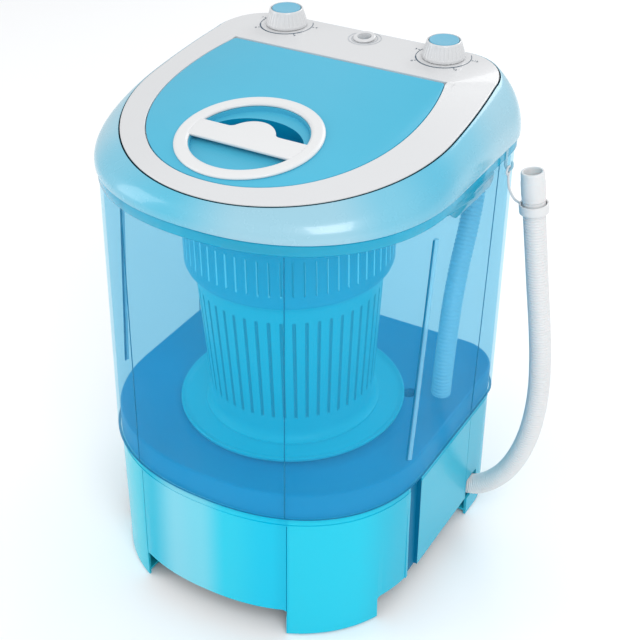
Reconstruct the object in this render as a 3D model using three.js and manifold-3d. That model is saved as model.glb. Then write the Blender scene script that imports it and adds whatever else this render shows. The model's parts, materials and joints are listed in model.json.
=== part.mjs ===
// Portable mini washer: a clear tub on a four-legged base, with a hinged lid, two timer knobs,
// a spin basket on a pulsator, a belt drive under the tub and a drain hose clipped up beside it.
// Millimetres, +Z up, the front faces -Y, the origin is on the floor under the middle.
import * as THREE from 'three';
import { mergeVertices } from 'three/addons/utils/BufferGeometryUtils.js';
import Module from 'manifold-3d';

const wasm = await Module();
wasm.setup();

// ---------- driving dimensions ----------

const GAP = 0.3; // air between pieces that touch
const WALL = 3; // moulded wall thickness

// A plan outline is a superellipse front between straight sides, with round rear corners.
const FOOT_LINE = { half: 178, front: -190.5, shoulder: -31, back: 174, corner: 50, fullness: 2.25, taper: 0 };
const BASE_LINE = { half: 180, front: -182.5, shoulder: -31, back: 174, corner: 50, fullness: 2.25, taper: 0 };
const TUB_LOW = { half: 183, front: -185.5, shoulder: -31, back: 177, corner: 52, fullness: 2.27, taper: 0 };
const TUB_HIGH = { half: 186, front: -173.8, shoulder: -5, back: 186, corner: 56, fullness: 2.25, taper: 0 };
const RIM_LINE = { half: 188, front: -175.8, shoulder: -3, back: 188, corner: 58, fullness: 2.25, taper: 0 };
const SKIRT_LINE = { half: 190, front: -177.3, shoulder: -3, back: 190.8, corner: 59, fullness: 2.25, taper: 0 };

const SKIN_BOTTOM = 1.5; // the base skin stops just above the floor, and the rubber feet reach it
const BASE_TOP = 162;
const BASE_BEVEL = 8; // height of the sloped band under the tub
const TUB_BOTTOM = 163;
const TUB_TOP = 480.4;
const RIM_BOTTOM = 469;
const COLLAR_BOTTOM = 481;

// The deck is the sloping top. Its own axes are u to the right, v up the slope and w out of it.
const DECK_Y = 8;
const DECK_Z = 524.8;
const DECK_TILT = Math.atan(0.113);
const PANEL_LINE = { half: 173.3, front: -170.5, shoulder: 8.8, back: 172, corner: 54, fullness: 2.03, taper: 7 };
const LID_LINE = { half: 135.5, front: -154, shoulder: 8, back: 92.6, corner: 2, fullness: 2.12, taper: 12 };
const PANEL_EDGE_W = 0.6;
const LID_TOP_W = 9.6;
const LID_GAP = 1;
const LEDGE_W = 5.2; // the lid rests on this ledge of the panel
const LEDGE_REACH = 7;

const HINGE_RADIUS = 3.5;
const HINGE_V = LID_LINE.back - HINGE_RADIUS;
const HINGE_W = LID_TOP_W - HINGE_RADIUS;
const PIN_RADIUS = 1.6;

const HANDLE_V = -76.5;
const HANDLE_OUTER = 72.6;
const HANDLE_INNER = 58.6;
const BAR_HALF = 14; // half the depth of the grip bar
const BAR_V = HANDLE_V - 6;
const BUMP_RADIUS = 27; // the round hump on the back of the bar
const BUMP_RISE = 32;

const KNOB_X = 94.5;
const KNOB_Y = 155;
const KNOB_SEAT = 545.8;
const KNOB_HEIGHT = 19;

const AXIS_Y = -2; // the spin axis stands at (0, AXIS_Y)
const SHAFT_RADIUS = 8;
const FLOOR_TOP = 178; // tub floor round the pulsator
const FLOOR_BOTTOM = 174.5;
const PULSATOR_RADIUS = 125;
const BASKET_FOOT = 184.5;
const BASKET_TOP = 432;
const BAND_BOTTOM = 367;
const BASKET_SLOTS = 20;

const MOTOR_X = -92;
const MOTOR_Y = 60;
const PULLEY_LOW = 58;
const PULLEY_HIGH = 72;
const GROOVE_LOW = 60.5;
const GROOVE_HIGH = 69.5;
const BIG_ROOT = 61; // groove root radius of the driven pulley
const SMALL_ROOT = 12; // groove root radius of the motor pulley
const BELT_THICK = 4;

const LEG_HEIGHT = 36;
const SIDE_ARCH = 31;
const COVER_LOW = 38;
const COVER_HIGH = 41;

const HOSE_RADIUS = 12;
const OUTLET = new THREE.Vector3(164, 104, 43);

// ---------- materials ----------

function plastic(color, roughness, extra = {}) {
  return new THREE.MeshStandardMaterial({ color, roughness, metalness: 0, ...extra });
}
const whitePlastic = plastic(0xeef0f3, 0.25);
const pearlBlue = plastic(0x7fc6e2, 0.25);
const lidBlue = plastic(0x5ab9de, 0.4);
const baseBlue = plastic(0x3fcfee, 0.3);
const clearBlue = plastic(0x9fd4ec, 0.1, { transparent: true, opacity: 0.4 });
const floorBlue = plastic(0x1286cc, 0.35);
const basketBlue = plastic(0x2fb2dc, 0.35);
const capBlue = plastic(0x6fb5cf, 0.4);
const hoseWhite = plastic(0xe6e6e8, 0.6);
const darkPlastic = plastic(0x2b2d31, 0.6);
const rubber = plastic(0x1d1d1f, 0.9);
const steel = new THREE.MeshStandardMaterial({ color: 0xb9bcc0, roughness: 0.35, metalness: 1 });
const castMetal = new THREE.MeshStandardMaterial({ color: 0x8f9296, roughness: 0.55, metalness: 0.9 });
const copper = new THREE.MeshStandardMaterial({ color: 0xb06a3a, roughness: 0.5, metalness: 0.8 });

// ---------- geometry helpers ----------

const ARC_STEPS = 24;
const SIDE_STEPS = 3;
const CORNER_STEPS = 5;
const BACK_STEPS = 6;
const ROUND = 24; // segments of a large turned piece
const SMALL_ROUND = 12; // segments of a small one
const WELD = 1e-4;

function outline(line, inset = 0) {
  const half = line.half - inset;
  const front = line.front + inset;
  const back = line.back - inset;
  const corner = Math.max(line.corner - inset, 1);
  const power = 2 / line.fullness;
  const sideBack = back - corner;
  const points = [];
  for (let i = 0; i <= ARC_STEPS; i++) {
    const turn = (Math.PI * i) / ARC_STEPS;
    const across = Math.cos(turn);
    const forward = Math.abs(Math.sin(turn)) ** power;
    const x = -half * Math.sign(across) * Math.abs(across) ** power;
    points.push(new THREE.Vector2(x, line.shoulder - (line.shoulder - front) * forward));
  }
  const side = (share) => {
    const y = line.shoulder + (sideBack - line.shoulder) * share;
    return new THREE.Vector2(half - line.taper * share * share, y);
  };
  for (let i = 1; i < SIDE_STEPS; i++) points.push(side(i / SIDE_STEPS));
  const cornerX = half - line.taper - corner;
  const addCorner = (centre, start) => {
    for (let i = 0; i <= CORNER_STEPS; i++) {
      const turn = start + (Math.PI / 2) * (i / CORNER_STEPS);
      points.push(new THREE.Vector2(centre + corner * Math.cos(turn), sideBack + corner * Math.sin(turn)));
    }
  };
  addCorner(cornerX, 0);
  for (let i = 1; i < BACK_STEPS; i++) {
    points.push(new THREE.Vector2(cornerX * (1 - (2 * i) / BACK_STEPS), back));
  }
  addCorner(-cornerX, Math.PI / 2);
  for (let i = SIDE_STEPS - 1; i > 0; i--) {
    const mirrored = side(i / SIDE_STEPS);
    points.push(new THREE.Vector2(-mirrored.x, mirrored.y));
  }
  return points;
}

function blendLines(low, high, share) {
  const line = {};
  for (const key of Object.keys(low)) line[key] = THREE.MathUtils.lerp(low[key], high[key], share);
  return line;
}

function baseLine(z) {
  return blendLines(FOOT_LINE, BASE_LINE, z / BASE_TOP);
}

function tubLine(z) {
  return blendLines(TUB_LOW, TUB_HIGH, (z - TUB_BOTTOM) / (TUB_TOP - TUB_BOTTOM));
}

function levelRing(line, inset, z) {
  return outline(line, inset).map((p) => new THREE.Vector3(p.x, p.y, z));
}

function deckPoint(u, v, w) {
  const cos = Math.cos(DECK_TILT);
  const sin = Math.sin(DECK_TILT);
  return new THREE.Vector3(u, DECK_Y + v * cos - w * sin, DECK_Z + v * sin + w * cos);
}

function deckRing(line, inset, w) {
  return outline(line, inset).map((p) => deckPoint(p.x, p.y, w));
}

// A circle whose points lie in the same directions from the spin axis as those of a ring.
function axisRing(like, radius, z) {
  return like.map((p) => {
    const turn = Math.atan2(p.y - AXIS_Y, p.x);
    return new THREE.Vector3(radius * Math.cos(turn), AXIS_Y + radius * Math.sin(turn), z);
  });
}

// Skins a list of rings, and joins the last ring back to the first, as a moulded shell is closed.
function loft(rings) {
  const count = rings[0].length;
  const positions = rings.flatMap((ring) => ring.flatMap((p) => [p.x, p.y, p.z]));
  const index = [];
  rings.forEach((_, r) => {
    const next = (r + 1) % rings.length;
    for (let i = 0; i < count; i++) {
      const j = (i + 1) % count;
      index.push(r * count + i, r * count + j, next * count + j);
      index.push(r * count + i, next * count + j, next * count + i);
    }
  });
  const geometry = new THREE.BufferGeometry();
  geometry.setAttribute('position', new THREE.Float32BufferAttribute(positions, 3));
  geometry.setIndex(index);
  return geometry;
}

function signedVolume(position, index) {
  const [a, b, c] = [new THREE.Vector3(), new THREE.Vector3(), new THREE.Vector3()];
  let volume = 0;
  for (let i = 0; i < index.length; i += 3) {
    a.fromBufferAttribute(position, index[i]);
    b.fromBufferAttribute(position, index[i + 1]);
    c.fromBufferAttribute(position, index[i + 2]);
    volume += a.dot(b.cross(c)) / 6;
  }
  return volume;
}

// Welds a closed surface by position, drops flat triangles and turns its faces outward.
function closed(source) {
  const bare = new THREE.BufferGeometry();
  bare.setAttribute('position', source.getAttribute('position').clone());
  if (source.index) bare.setIndex(source.index.clone());
  const welded = mergeVertices(bare, WELD);
  const old = welded.index.array;
  let index = [];
  for (let i = 0; i < old.length; i += 3) {
    const [a, b, c] = [old[i], old[i + 1], old[i + 2]];
    if (a !== b && b !== c && c !== a) index.push(a, b, c);
  }
  if (signedVolume(welded.getAttribute('position'), index) < 0) index = index.reverse();
  welded.setIndex(index);
  return welded;
}

function solid(geometry) {
  const body = closed(geometry);
  const vertProperties = new Float32Array(body.getAttribute('position').array);
  const triVerts = new Uint32Array(body.index.array);
  return new wasm.Manifold(new wasm.Mesh({ numProp: 3, vertProperties, triVerts }));
}

function surface(manifold) {
  const mesh = manifold.getMesh();
  const geometry = new THREE.BufferGeometry();
  geometry.setAttribute('position', new THREE.Float32BufferAttribute(mesh.vertProperties, 3));
  geometry.setIndex(Array.from(mesh.triVerts));
  return geometry;
}

function carve(geometry, cuts) {
  return surface(cuts.reduce((body, cut) => body.subtract(solid(cut)), solid(geometry)));
}

function fuse(geometry, additions) {
  return surface(additions.reduce((body, extra) => body.add(solid(extra)), solid(geometry)));
}

// Turns a profile of [radius, z] points about the Z axis. A profile off the axis closes on itself.
function turned(profile, segments = ROUND) {
  const points = profile.map(([radius, z]) => new THREE.Vector2(radius, z));
  if (points[0].x > 0 || points[points.length - 1].x > 0) points.push(points[0].clone());
  return new THREE.LatheGeometry(points, segments).rotateX(Math.PI / 2);
}

function rod(radius, low, high, segments = SMALL_ROUND) {
  return turned([[0, low], [radius, low], [radius, high], [0, high]], segments);
}

function washer(inner, outer, low, high, segments = SMALL_ROUND) {
  return turned([[inner, low], [outer, low], [outer, high], [inner, high]], segments);
}

function block([x0, y0, z0], [x1, y1, z1]) {
  const box = new THREE.BoxGeometry(x1 - x0, y1 - y0, z1 - z0);
  return box.translate((x0 + x1) / 2, (y0 + y1) / 2, (z0 + z1) / 2);
}

function mirroredPair(make) {
  return [make(-1), make(1)];
}

function sweep(points, radius, steps, sides, bore = 0) {
  const section = new THREE.Shape();
  section.absarc(0, 0, radius, 0, Math.PI * 2, false);
  if (bore > 0) {
    const hole = new THREE.Path();
    hole.absarc(0, 0, bore, 0, Math.PI * 2, true);
    section.holes.push(hole);
  }
  const extrudePath = new THREE.CatmullRomCurve3(points);
  return new THREE.ExtrudeGeometry(section, { steps, extrudePath, curveSegments: sides, bevelEnabled: false });
}

function slab(points, low, high, holes = []) {
  const shape = new THREE.Shape(points);
  shape.holes = holes.map((hole) => new THREE.Path(hole));
  const geometry = new THREE.ExtrudeGeometry(shape, { depth: high - low, bevelEnabled: false });
  return geometry.translate(0, 0, low);
}

const washerGroup = new THREE.Group();
const deck = new THREE.Group();
deck.position.set(0, DECK_Y, DECK_Z);
deck.rotation.x = DECK_TILT;
washerGroup.add(deck);

function addPiece(name, geometry, material, parent = washerGroup) {
  const body = closed(geometry);
  body.computeVertexNormals();
  const mesh = new THREE.Mesh(body, material);
  mesh.name = name;
  parent.add(mesh);
  return mesh;
}

// ---------- base ----------

const BOSS_RADIUS = 6.5;
const BOSS_INSET = 9;
const LEG_FLOOR_LOW = 6;
const LEG_FLOOR_HIGH = 9;
const LEG_DEPTH = 34;
const FRONT_ARCH_HALF = 91;
const REAR_ARCH_HALF = 112;
const SIDE_ARCH_FRONT = -103;
const SIDE_ARCH_BACK = 96;
const WINDOW_FRONT = 90; // the hose comes out through a window behind the right side panel
const BEYOND = 260; // cutters reach past everything
const GROOVE_FRONT = -58; // an upright groove in each side, behind the curved front
const GROOVE_REAR = -36;
const GROOVE_BACK = 169;
const SCREW_SHANK = 1.5;
const SCREW_BORE = 2;

function archCutters() {
  const front = block([-FRONT_ARCH_HALF, -BEYOND, -1], [FRONT_ARCH_HALF, -100, LEG_HEIGHT]);
  const rear = block([-REAR_ARCH_HALF, 100, -1], [REAR_ARCH_HALF, BEYOND, LEG_HEIGHT]);
  const sides = mirroredPair((s) => {
    const reach = [s * 110, s * BEYOND].sort((a, b) => a - b);
    return block([reach[0], SIDE_ARCH_FRONT, -1], [reach[1], SIDE_ARCH_BACK, SIDE_ARCH]);
  });
  return [front, rear, ...sides];
}

function bossPlaces() {
  const ring = outline(baseLine(COVER_HIGH), BOSS_INSET);
  const frontStep = Math.round(ARC_STEPS / 6);
  const rearStep = ARC_STEPS + SIDE_STEPS + Math.floor(CORNER_STEPS / 2);
  const rear = ring[rearStep];
  return [
    ring[frontStep],
    ring[ARC_STEPS - frontStep],
    rear,
    new THREE.Vector2(-rear.x, rear.y),
  ];
}

function footPlaces() {
  const ring = outline(FOOT_LINE, LEG_DEPTH / 2 + 2);
  const frontStep = Math.round(ARC_STEPS * 0.3);
  const rear = ring[ARC_STEPS + SIDE_STEPS + Math.floor(CORNER_STEPS / 2)];
  return [
    ring[frontStep],
    ring[ARC_STEPS - frontStep],
    rear,
    new THREE.Vector2(-rear.x, rear.y),
  ];
}

function makeBaseShell() {
  const bevelStart = BASE_TOP - BASE_BEVEL;
  const skin = loft([
    levelRing(baseLine(SKIN_BOTTOM), 0, SKIN_BOTTOM),
    levelRing(baseLine(bevelStart), 0, bevelStart),
    levelRing(BASE_LINE, 2, BASE_TOP),
    levelRing(BASE_LINE, 15, BASE_TOP),
    levelRing(BASE_LINE, 15, BASE_TOP - WALL),
    levelRing(BASE_LINE, WALL + 1.5, BASE_TOP - WALL),
    levelRing(baseLine(SKIN_BOTTOM), WALL, SKIN_BOTTOM),
  ]);
  const legFloor = loft([
    levelRing(FOOT_LINE, 1, LEG_FLOOR_LOW),
    levelRing(FOOT_LINE, 1, LEG_FLOOR_HIGH),
    levelRing(FOOT_LINE, LEG_DEPTH, LEG_FLOOR_HIGH),
    levelRing(FOOT_LINE, LEG_DEPTH, LEG_FLOOR_LOW),
  ]);
  const legBack = loft([
    levelRing(FOOT_LINE, LEG_DEPTH - WALL, SKIN_BOTTOM),
    levelRing(FOOT_LINE, LEG_DEPTH - WALL, COVER_LOW - GAP),
    levelRing(FOOT_LINE, LEG_DEPTH, COVER_LOW - GAP),
    levelRing(FOOT_LINE, LEG_DEPTH, SKIN_BOTTOM),
  ]);
  const bosses = bossPlaces().map((p) => rod(BOSS_RADIUS, COVER_HIGH + GAP, BASE_TOP - 1).translate(p.x, p.y, 0));
  const grooveBacks = mirroredPair((s) => {
    const reach = [s * GROOVE_BACK, s * 177.5].sort((a, b) => a - b);
    return block([reach[0], GROOVE_FRONT - 4, SIDE_ARCH], [reach[1], GROOVE_REAR + 4, BASE_TOP - 1]);
  });
  const grooves = mirroredPair((s) => {
    const reach = [s * 174.5, s * BEYOND].sort((a, b) => a - b);
    return block([reach[0], GROOVE_FRONT, -1], [reach[1], GROOVE_REAR, BASE_TOP - 4]);
  });
  const hoseWindow = block([130, WINDOW_FRONT, 24], [BEYOND, 138, 72]);
  const glandHole = rod(8 + GAP, -20, 20).rotateX(Math.PI / 2).translate(-120, 172, 70);
  const screwBores = bossPlaces().map((p) => rod(SCREW_BORE, COVER_LOW, COVER_HIGH + 14).translate(p.x, p.y, 0));
  const body = fuse(skin, [legFloor, legBack, ...bosses, ...grooveBacks]);
  return carve(body, [...archCutters(), ...grooves, hoseWindow, glandHole, ...screwBores]);
}

function makeBottomCover() {
  const plate = slab(outline(baseLine(COVER_LOW), WALL + 2), COVER_LOW, COVER_HIGH);
  const slots = [];
  for (let i = -4; i <= 4; i++) slots.push(block([i * 18 - 4, -70, 0], [i * 18 + 4, 40, 60]));
  const hoseNotch = block([96, 50, 0], [BEYOND, BEYOND, 60]);
  const grooveNotches = mirroredPair((s) => {
    const reach = [s * (GROOVE_BACK - 1), s * BEYOND].sort((a, b) => a - b);
    return block([reach[0], GROOVE_FRONT - 5, 0], [reach[1], GROOVE_REAR + 5, 60]);
  });
  const bores = bossPlaces().map((p) => rod(SCREW_BORE, 0, 60).translate(p.x, p.y, 0));
  return carve(plate, [...slots, hoseNotch, ...grooveNotches, ...bores]);
}

function screw(headRadius, headHigh, shankLength) {
  return turned([
    [0, -headHigh], [headRadius * 0.8, -headHigh], [headRadius, -headHigh * 0.4], [headRadius, 0],
    [SCREW_SHANK, 0], [SCREW_SHANK, shankLength], [0, shankLength],
  ], 8);
}

addPiece('base_shell', makeBaseShell(), baseBlue);
addPiece('bottom_cover', makeBottomCover(), darkPlastic);

const CORNER_NAMES = ['front_left', 'front_right', 'rear_right', 'rear_left'];
footPlaces().forEach((p, i) => {
  const foot = turned([[0, 0], [10, 0], [11, 1], [11, LEG_FLOOR_LOW - GAP], [0, LEG_FLOOR_LOW - GAP]]);
  addPiece(`foot_${CORNER_NAMES[i]}`, foot, rubber).position.set(p.x, p.y, 0);
});
bossPlaces().forEach((p, i) => {
  const place = addPiece(`cover_screw_${CORNER_NAMES[i]}`, screw(4, 2.5, 14), steel).position;
  place.set(p.x, p.y, COVER_LOW - GAP);
});
addPiece('cable_gland', turned([
  [4, -12], [8, -12], [8, 3.5], [12, 3.5], [12, 8], [7, 14], [4, 14],
]).rotateX(-Math.PI / 2), darkPlastic).position.set(-120, 171, 70);

// ---------- tub ----------

const DRAIN_X = 112;
const DRAIN_Y = 66;
const DRAIN_BORE = 8.5;
const HOOK_Y = 113;

function makeTubShell() {
  const wall = loft([
    levelRing(TUB_LOW, 0, TUB_BOTTOM),
    levelRing(tubLine(RIM_BOTTOM), 0, RIM_BOTTOM),
    levelRing(RIM_LINE, 0, RIM_BOTTOM + 0.5),
    levelRing(RIM_LINE, 0, TUB_TOP),
    levelRing(TUB_HIGH, WALL, TUB_TOP),
    levelRing(TUB_LOW, WALL, TUB_BOTTOM),
  ]);
  const hookNotch = block([TUB_HIGH.half + 0.2, HOOK_Y - 9, RIM_BOTTOM - 5], [BEYOND, HOOK_Y + 9, TUB_TOP + 5]);
  return carve(wall, [hookNotch]);
}
addPiece('tub_shell', makeTubShell(), clearBlue);

function makeTubFloor() {
  const edge = (z, inset) => levelRing(tubLine(z), inset, z);
  const like = edge(FLOOR_TOP, 0);
  const tray = loft([
    edge(TUB_BOTTOM, WALL + 0.6),
    edge(190, WALL + 0.6),
    edge(192, WALL + 3),
    edge(184, 30),
    axisRing(like, 131, FLOOR_TOP),
    axisRing(like, 14, FLOOR_TOP),
    axisRing(like, 14, FLOOR_BOTTOM),
    axisRing(like, 130, FLOOR_BOTTOM),
    edge(180, 31),
    edge(187, WALL + 4),
    edge(TUB_BOTTOM, WALL + 3.6),
  ]);
  return carve(tray, [rod(DRAIN_BORE, 150, 220).translate(DRAIN_X, DRAIN_Y, 0)]);
}
addPiece('tub_floor', makeTubFloor(), floorBlue);

// ---------- collar and top panel ----------

function makeCollar() {
  const skirtTop = levelRing(SKIRT_LINE, 0, COLLAR_BOTTOM + 5);
  const lip = deckRing(PANEL_LINE, -1.4, 0);
  const swell = 1.15; // how far round a quarter turn the surface bends, in radians
  const shoulder = [];
  for (let i = 1; i <= 5; i++) {
    const turn = (swell * i) / 5;
    const inward = (1 - Math.cos(turn)) / (1 - Math.cos(swell));
    const upward = Math.sin(turn) / Math.sin(swell);
    shoulder.push(skirtTop.map((p, k) => new THREE.Vector3(
      THREE.MathUtils.lerp(p.x, lip[k].x, inward),
      THREE.MathUtils.lerp(p.y, lip[k].y, inward),
      THREE.MathUtils.lerp(p.z, lip[k].z, upward),
    )));
  }
  return loft([
    levelRing(SKIRT_LINE, 0, COLLAR_BOTTOM),
    skirtTop,
    ...shoulder,
    deckRing(PANEL_LINE, -0.5, 0),
    deckRing(PANEL_LINE, -0.5, -4),
    deckRing(PANEL_LINE, 9, -4),
    deckRing(PANEL_LINE, 9, -7),
    deckRing(PANEL_LINE, 3, -7),
    levelRing(SKIRT_LINE, WALL + 0.4, COLLAR_BOTTOM + 6),
    levelRing(SKIRT_LINE, WALL + 0.4, COLLAR_BOTTOM + WALL),
    levelRing(SKIRT_LINE, 12, COLLAR_BOTTOM + WALL),
    levelRing(SKIRT_LINE, 12, COLLAR_BOTTOM),
  ]);
}
addPiece('collar', makeCollar(), pearlBlue);

const INLET_V = 152;
const INLET_OUTER = 12;
const BOSS_START = 126.6; // the hinge pins end in bosses under the panel
const BOSS_END = 133;

function panelSkin() {
  const ring = (line, inset, w) => outline(line, inset).map((p) => new THREE.Vector3(p.x, p.y, w));
  return loft([
    ring(PANEL_LINE, 0, -3.6),
    ring(PANEL_LINE, 0, PANEL_EDGE_W),
    ring(PANEL_LINE, 1.2, PANEL_EDGE_W + 1),
    ring(LID_LINE, -LID_GAP, LID_TOP_W),
    ring(LID_LINE, -LID_GAP, LEDGE_W),
    ring(LID_LINE, LEDGE_REACH, LEDGE_W),
    ring(LID_LINE, LEDGE_REACH, LEDGE_W - WALL),
    ring(LID_LINE, -LID_GAP - 3, LEDGE_W - WALL),
    ring(PANEL_LINE, 5, -1.6),
    ring(PANEL_LINE, 5, -3.6),
  ]);
}

// A knob stands upright in the world, so its hole is cut through the sloping panel at an angle.
function knobHole(side) {
  const across = (KNOB_Y - DECK_Y) / Math.cos(DECK_TILT);
  return rod(5.5, -60, 60).rotateX(-DECK_TILT).translate(side * KNOB_X, across, 0);
}

function makeTopPanel() {
  const hingeBosses = mirroredPair((s) => {
    const reach = [s * BOSS_START, s * BOSS_END].sort((a, b) => a - b);
    return block([reach[0], HINGE_V - 5, 1], [reach[1], HINGE_V + 5, 8.4]);
  });
  const hingeBay = block([-122.8, HINGE_V - 6.5, 0], [122.8, LID_LINE.back + LID_GAP, 20]);
  // Square rear corners give the lid's side edges room when it stands up.
  const lidCorners = block([-125.4, HINGE_V - 1, LEDGE_W], [125.4, LID_LINE.back + LID_GAP, 20]);
  const pinBores = mirroredPair((s) => {
    const length = [s * 115, s * (BOSS_END - 1)].sort((a, b) => a - b);
    return rod(PIN_RADIUS + GAP, length[0], length[1]).rotateY(Math.PI / 2).translate(0, HINGE_V, HINGE_W);
  });
  const inletHole = rod(INLET_OUTER - 2 + GAP, -40, 40, 20).translate(0, INLET_V, 0);
  const cuts = [hingeBay, lidCorners, ...pinBores, knobHole(-1), knobHole(1), inletHole];
  return carve(fuse(panelSkin(), hingeBosses), cuts);
}
addPiece('top_panel', makeTopPanel(), whitePlastic, deck);

function panelTopW(v) {
  const from = LID_LINE.back + LID_GAP;
  const to = PANEL_LINE.back - 1.2;
  const share = (v - from) / (to - from);
  return THREE.MathUtils.lerp(LID_TOP_W, PANEL_EDGE_W + 1, share);
}

const inletTop = panelTopW(INLET_V - INLET_OUTER) + GAP;
addPiece('inlet_spigot', turned([
  [7.5, -14], [INLET_OUTER - 2, -14], [INLET_OUTER - 2, inletTop], [INLET_OUTER, inletTop],
  [INLET_OUTER, inletTop + 1.2], [INLET_OUTER - 1, inletTop + 1.8], [7.5, inletTop + 1.8],
], 20), whitePlastic, deck).position.set(0, INLET_V, 0);

addPiece('splash_shield', slab([
  [-120, 108], [120, 108], [120, 110.5], [-120, 110.5],
].map(([x, y]) => new THREE.Vector2(x, y)), 500, 536), whitePlastic);

// ---------- lid ----------

const SCOOP_FRONT = BAR_V + BAR_HALF;
const SCOOP_DEEP = -12;
const DISH_W = 5;
const DISH_RADIUS = HANDLE_INNER - 1;

// The crescent behind the grip bar that the fingers go into.
function scoopShape(grow) {
  const reach = 52 + grow;
  const rise = 40 + 2 * grow;
  const points = [];
  for (let i = 0; i <= 20; i++) {
    const turn = (Math.PI * i) / 20;
    points.push(new THREE.Vector2(reach * Math.cos(turn), SCOOP_FRONT - 8 - grow + rise * Math.sin(turn)));
  }
  return points;
}

function makeLid() {
  const ringSlab = (outer, inner, low, high) => slab(outline(LID_LINE, outer), low, high, [outline(LID_LINE, inner)]);
  const plate = slab(outline(LID_LINE, 0), LID_TOP_W - 3, LID_TOP_W);
  const edge = ringSlab(0, 3, LEDGE_W + GAP + 0.1, LID_TOP_W - 1);
  const skirt = ringSlab(8.5, 11, -1, LID_TOP_W - 1);
  const barrel = rod(HINGE_RADIUS, -122, 122, 28).rotateY(Math.PI / 2).translate(0, HINGE_V, HINGE_W);
  const pan = rod(DISH_RADIUS + 2.5, DISH_W - 2.5, LID_TOP_W - 1, ROUND).translate(0, HANDLE_V, 0);
  const scoopCup = slab(scoopShape(2.5), SCOOP_DEEP - 2.5, DISH_W);
  const body = fuse(plate, [edge, skirt, pan, scoopCup]);
  const dish = rod(DISH_RADIUS, DISH_W, 30, ROUND).translate(0, HANDLE_V, 0);
  const scoop = slab(scoopShape(0), SCOOP_DEEP, 30);
  const behindHinge = block([-BEYOND, HINGE_V, -20], [BEYOND, BEYOND, 30]); // only the round barrel turns there
  const trimmed = carve(body, [dish, scoop, behindHinge]);
  const pinBores = mirroredPair((s) => {
    const length = [s * 112, s * 130].sort((a, b) => a - b);
    return rod(PIN_RADIUS + GAP, length[0], length[1]).rotateY(Math.PI / 2).translate(0, HINGE_V, HINGE_W);
  });
  return carve(fuse(trimmed, [barrel]), pinBores);
}
addPiece('lid_panel', makeLid(), lidBlue, deck);

function makeHandle() {
  const low = LID_TOP_W + GAP;
  const ring = turned([
    [HANDLE_INNER, low], [HANDLE_OUTER, low], [HANDLE_OUTER, low + 2], [HANDLE_OUTER - 3, low + 4],
    [HANDLE_INNER + 3, low + 4], [HANDLE_INNER, low + 2],
  ], 40).translate(0, HANDLE_V, 0);
  const shift = HANDLE_V - BAR_V;
  const half = Math.sqrt((HANDLE_INNER + 6) ** 2 - (shift + BAR_HALF) ** 2);
  const bar = block([-half, BAR_V - BAR_HALF, low], [half, BAR_V + BAR_HALF, low + 3.2]);
  const bumpShape = [];
  for (let i = 0; i <= 12; i++) {
    const turn = (Math.PI * i) / 12;
    bumpShape.push(new THREE.Vector2(BUMP_RADIUS * Math.cos(turn), BAR_V + BUMP_RISE * Math.sin(turn)));
  }
  const bump = slab(bumpShape, low, low + 3.2);
  return fuse(ring, [bar, bump]);
}
addPiece('lid_handle', makeHandle(), whitePlastic, deck);

for (const [name, side] of [['left', -1], ['right', 1]]) {
  const pin = rod(PIN_RADIUS, -8.5, 8.5, 16).rotateY(Math.PI / 2);
  addPiece(`hinge_pin_${name}`, pin, steel, deck).position.set(side * 122, HINGE_V, HINGE_W);
}

// ---------- timers and knobs ----------

const TIMER_LOW = 505;
const TIMER_HIGH = 531;
const TIMER_SHAFT = 3;

function makeTimerCase() {
  const box = block([-19, -14, TIMER_LOW], [19, 14, TIMER_HIGH]);
  const neck = rod(5, TIMER_HIGH - 1, 542);
  const bore = rod(TIMER_SHAFT + GAP, TIMER_LOW + 6, 560);
  return carve(fuse(box, [neck]), [bore]);
}

function makeKnob() {
  const flutes = 14;
  const points = [];
  for (let i = 0; i < flutes * 2; i++) {
    const turn = (Math.PI * i) / flutes;
    const radius = i % 2 ? 1 : 0.96;
    points.push(new THREE.Vector2(radius * Math.cos(turn), radius * Math.sin(turn)));
  }
  const level = (radius, z) => points.map((p) => new THREE.Vector3(p.x * radius, p.y * radius, z));
  return loft([
    level(22.5, 0), level(22.5, 3), level(18.6, KNOB_HEIGHT - 1.5), level(17.6, KNOB_HEIGHT - 0.6),
    level(16.4, KNOB_HEIGHT - 0.6), level(16.4, KNOB_HEIGHT - 3), level(TIMER_SHAFT + GAP, KNOB_HEIGHT - 3),
    level(TIMER_SHAFT + GAP, 4), level(20, 4), level(20, 0),
  ]);
}

for (const [name, side] of [['spin', -1], ['wash', 1]]) {
  const station = new THREE.Group();
  station.position.set(side * KNOB_X, KNOB_Y, 0);
  washerGroup.add(station);
  addPiece(`${name}_timer_case`, makeTimerCase(), darkPlastic, station);
  const shaft = rod(TIMER_SHAFT, TIMER_LOW + 7, KNOB_SEAT + KNOB_HEIGHT - 4, 16);
  addPiece(`${name}_timer_shaft`, shaft, steel, station);
  addPiece(`${name}_knob`, makeKnob(), whitePlastic, station).position.z = KNOB_SEAT;
  const cap = turned([
    [0, -2.4], [15.4, -2.4], [15.4, -0.6], [14.4, 0], [0, 0.3],
  ], 20);
  addPiece(`${name}_knob_cap`, cap, capBlue, station).position.z = KNOB_SEAT + KNOB_HEIGHT - 0.3;
}

// ---------- spinning group ----------

const spinner = new THREE.Group();
spinner.position.y = AXIS_Y;
washerGroup.add(spinner);

const SHAFT_TOP = 198;
addPiece('drive_shaft', turned([
  [0, 48], [SHAFT_RADIUS, 48], [SHAFT_RADIUS, SHAFT_TOP], [3.2, SHAFT_TOP], [3.2, 184], [0, 184],
], 16), steel, spinner);

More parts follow.
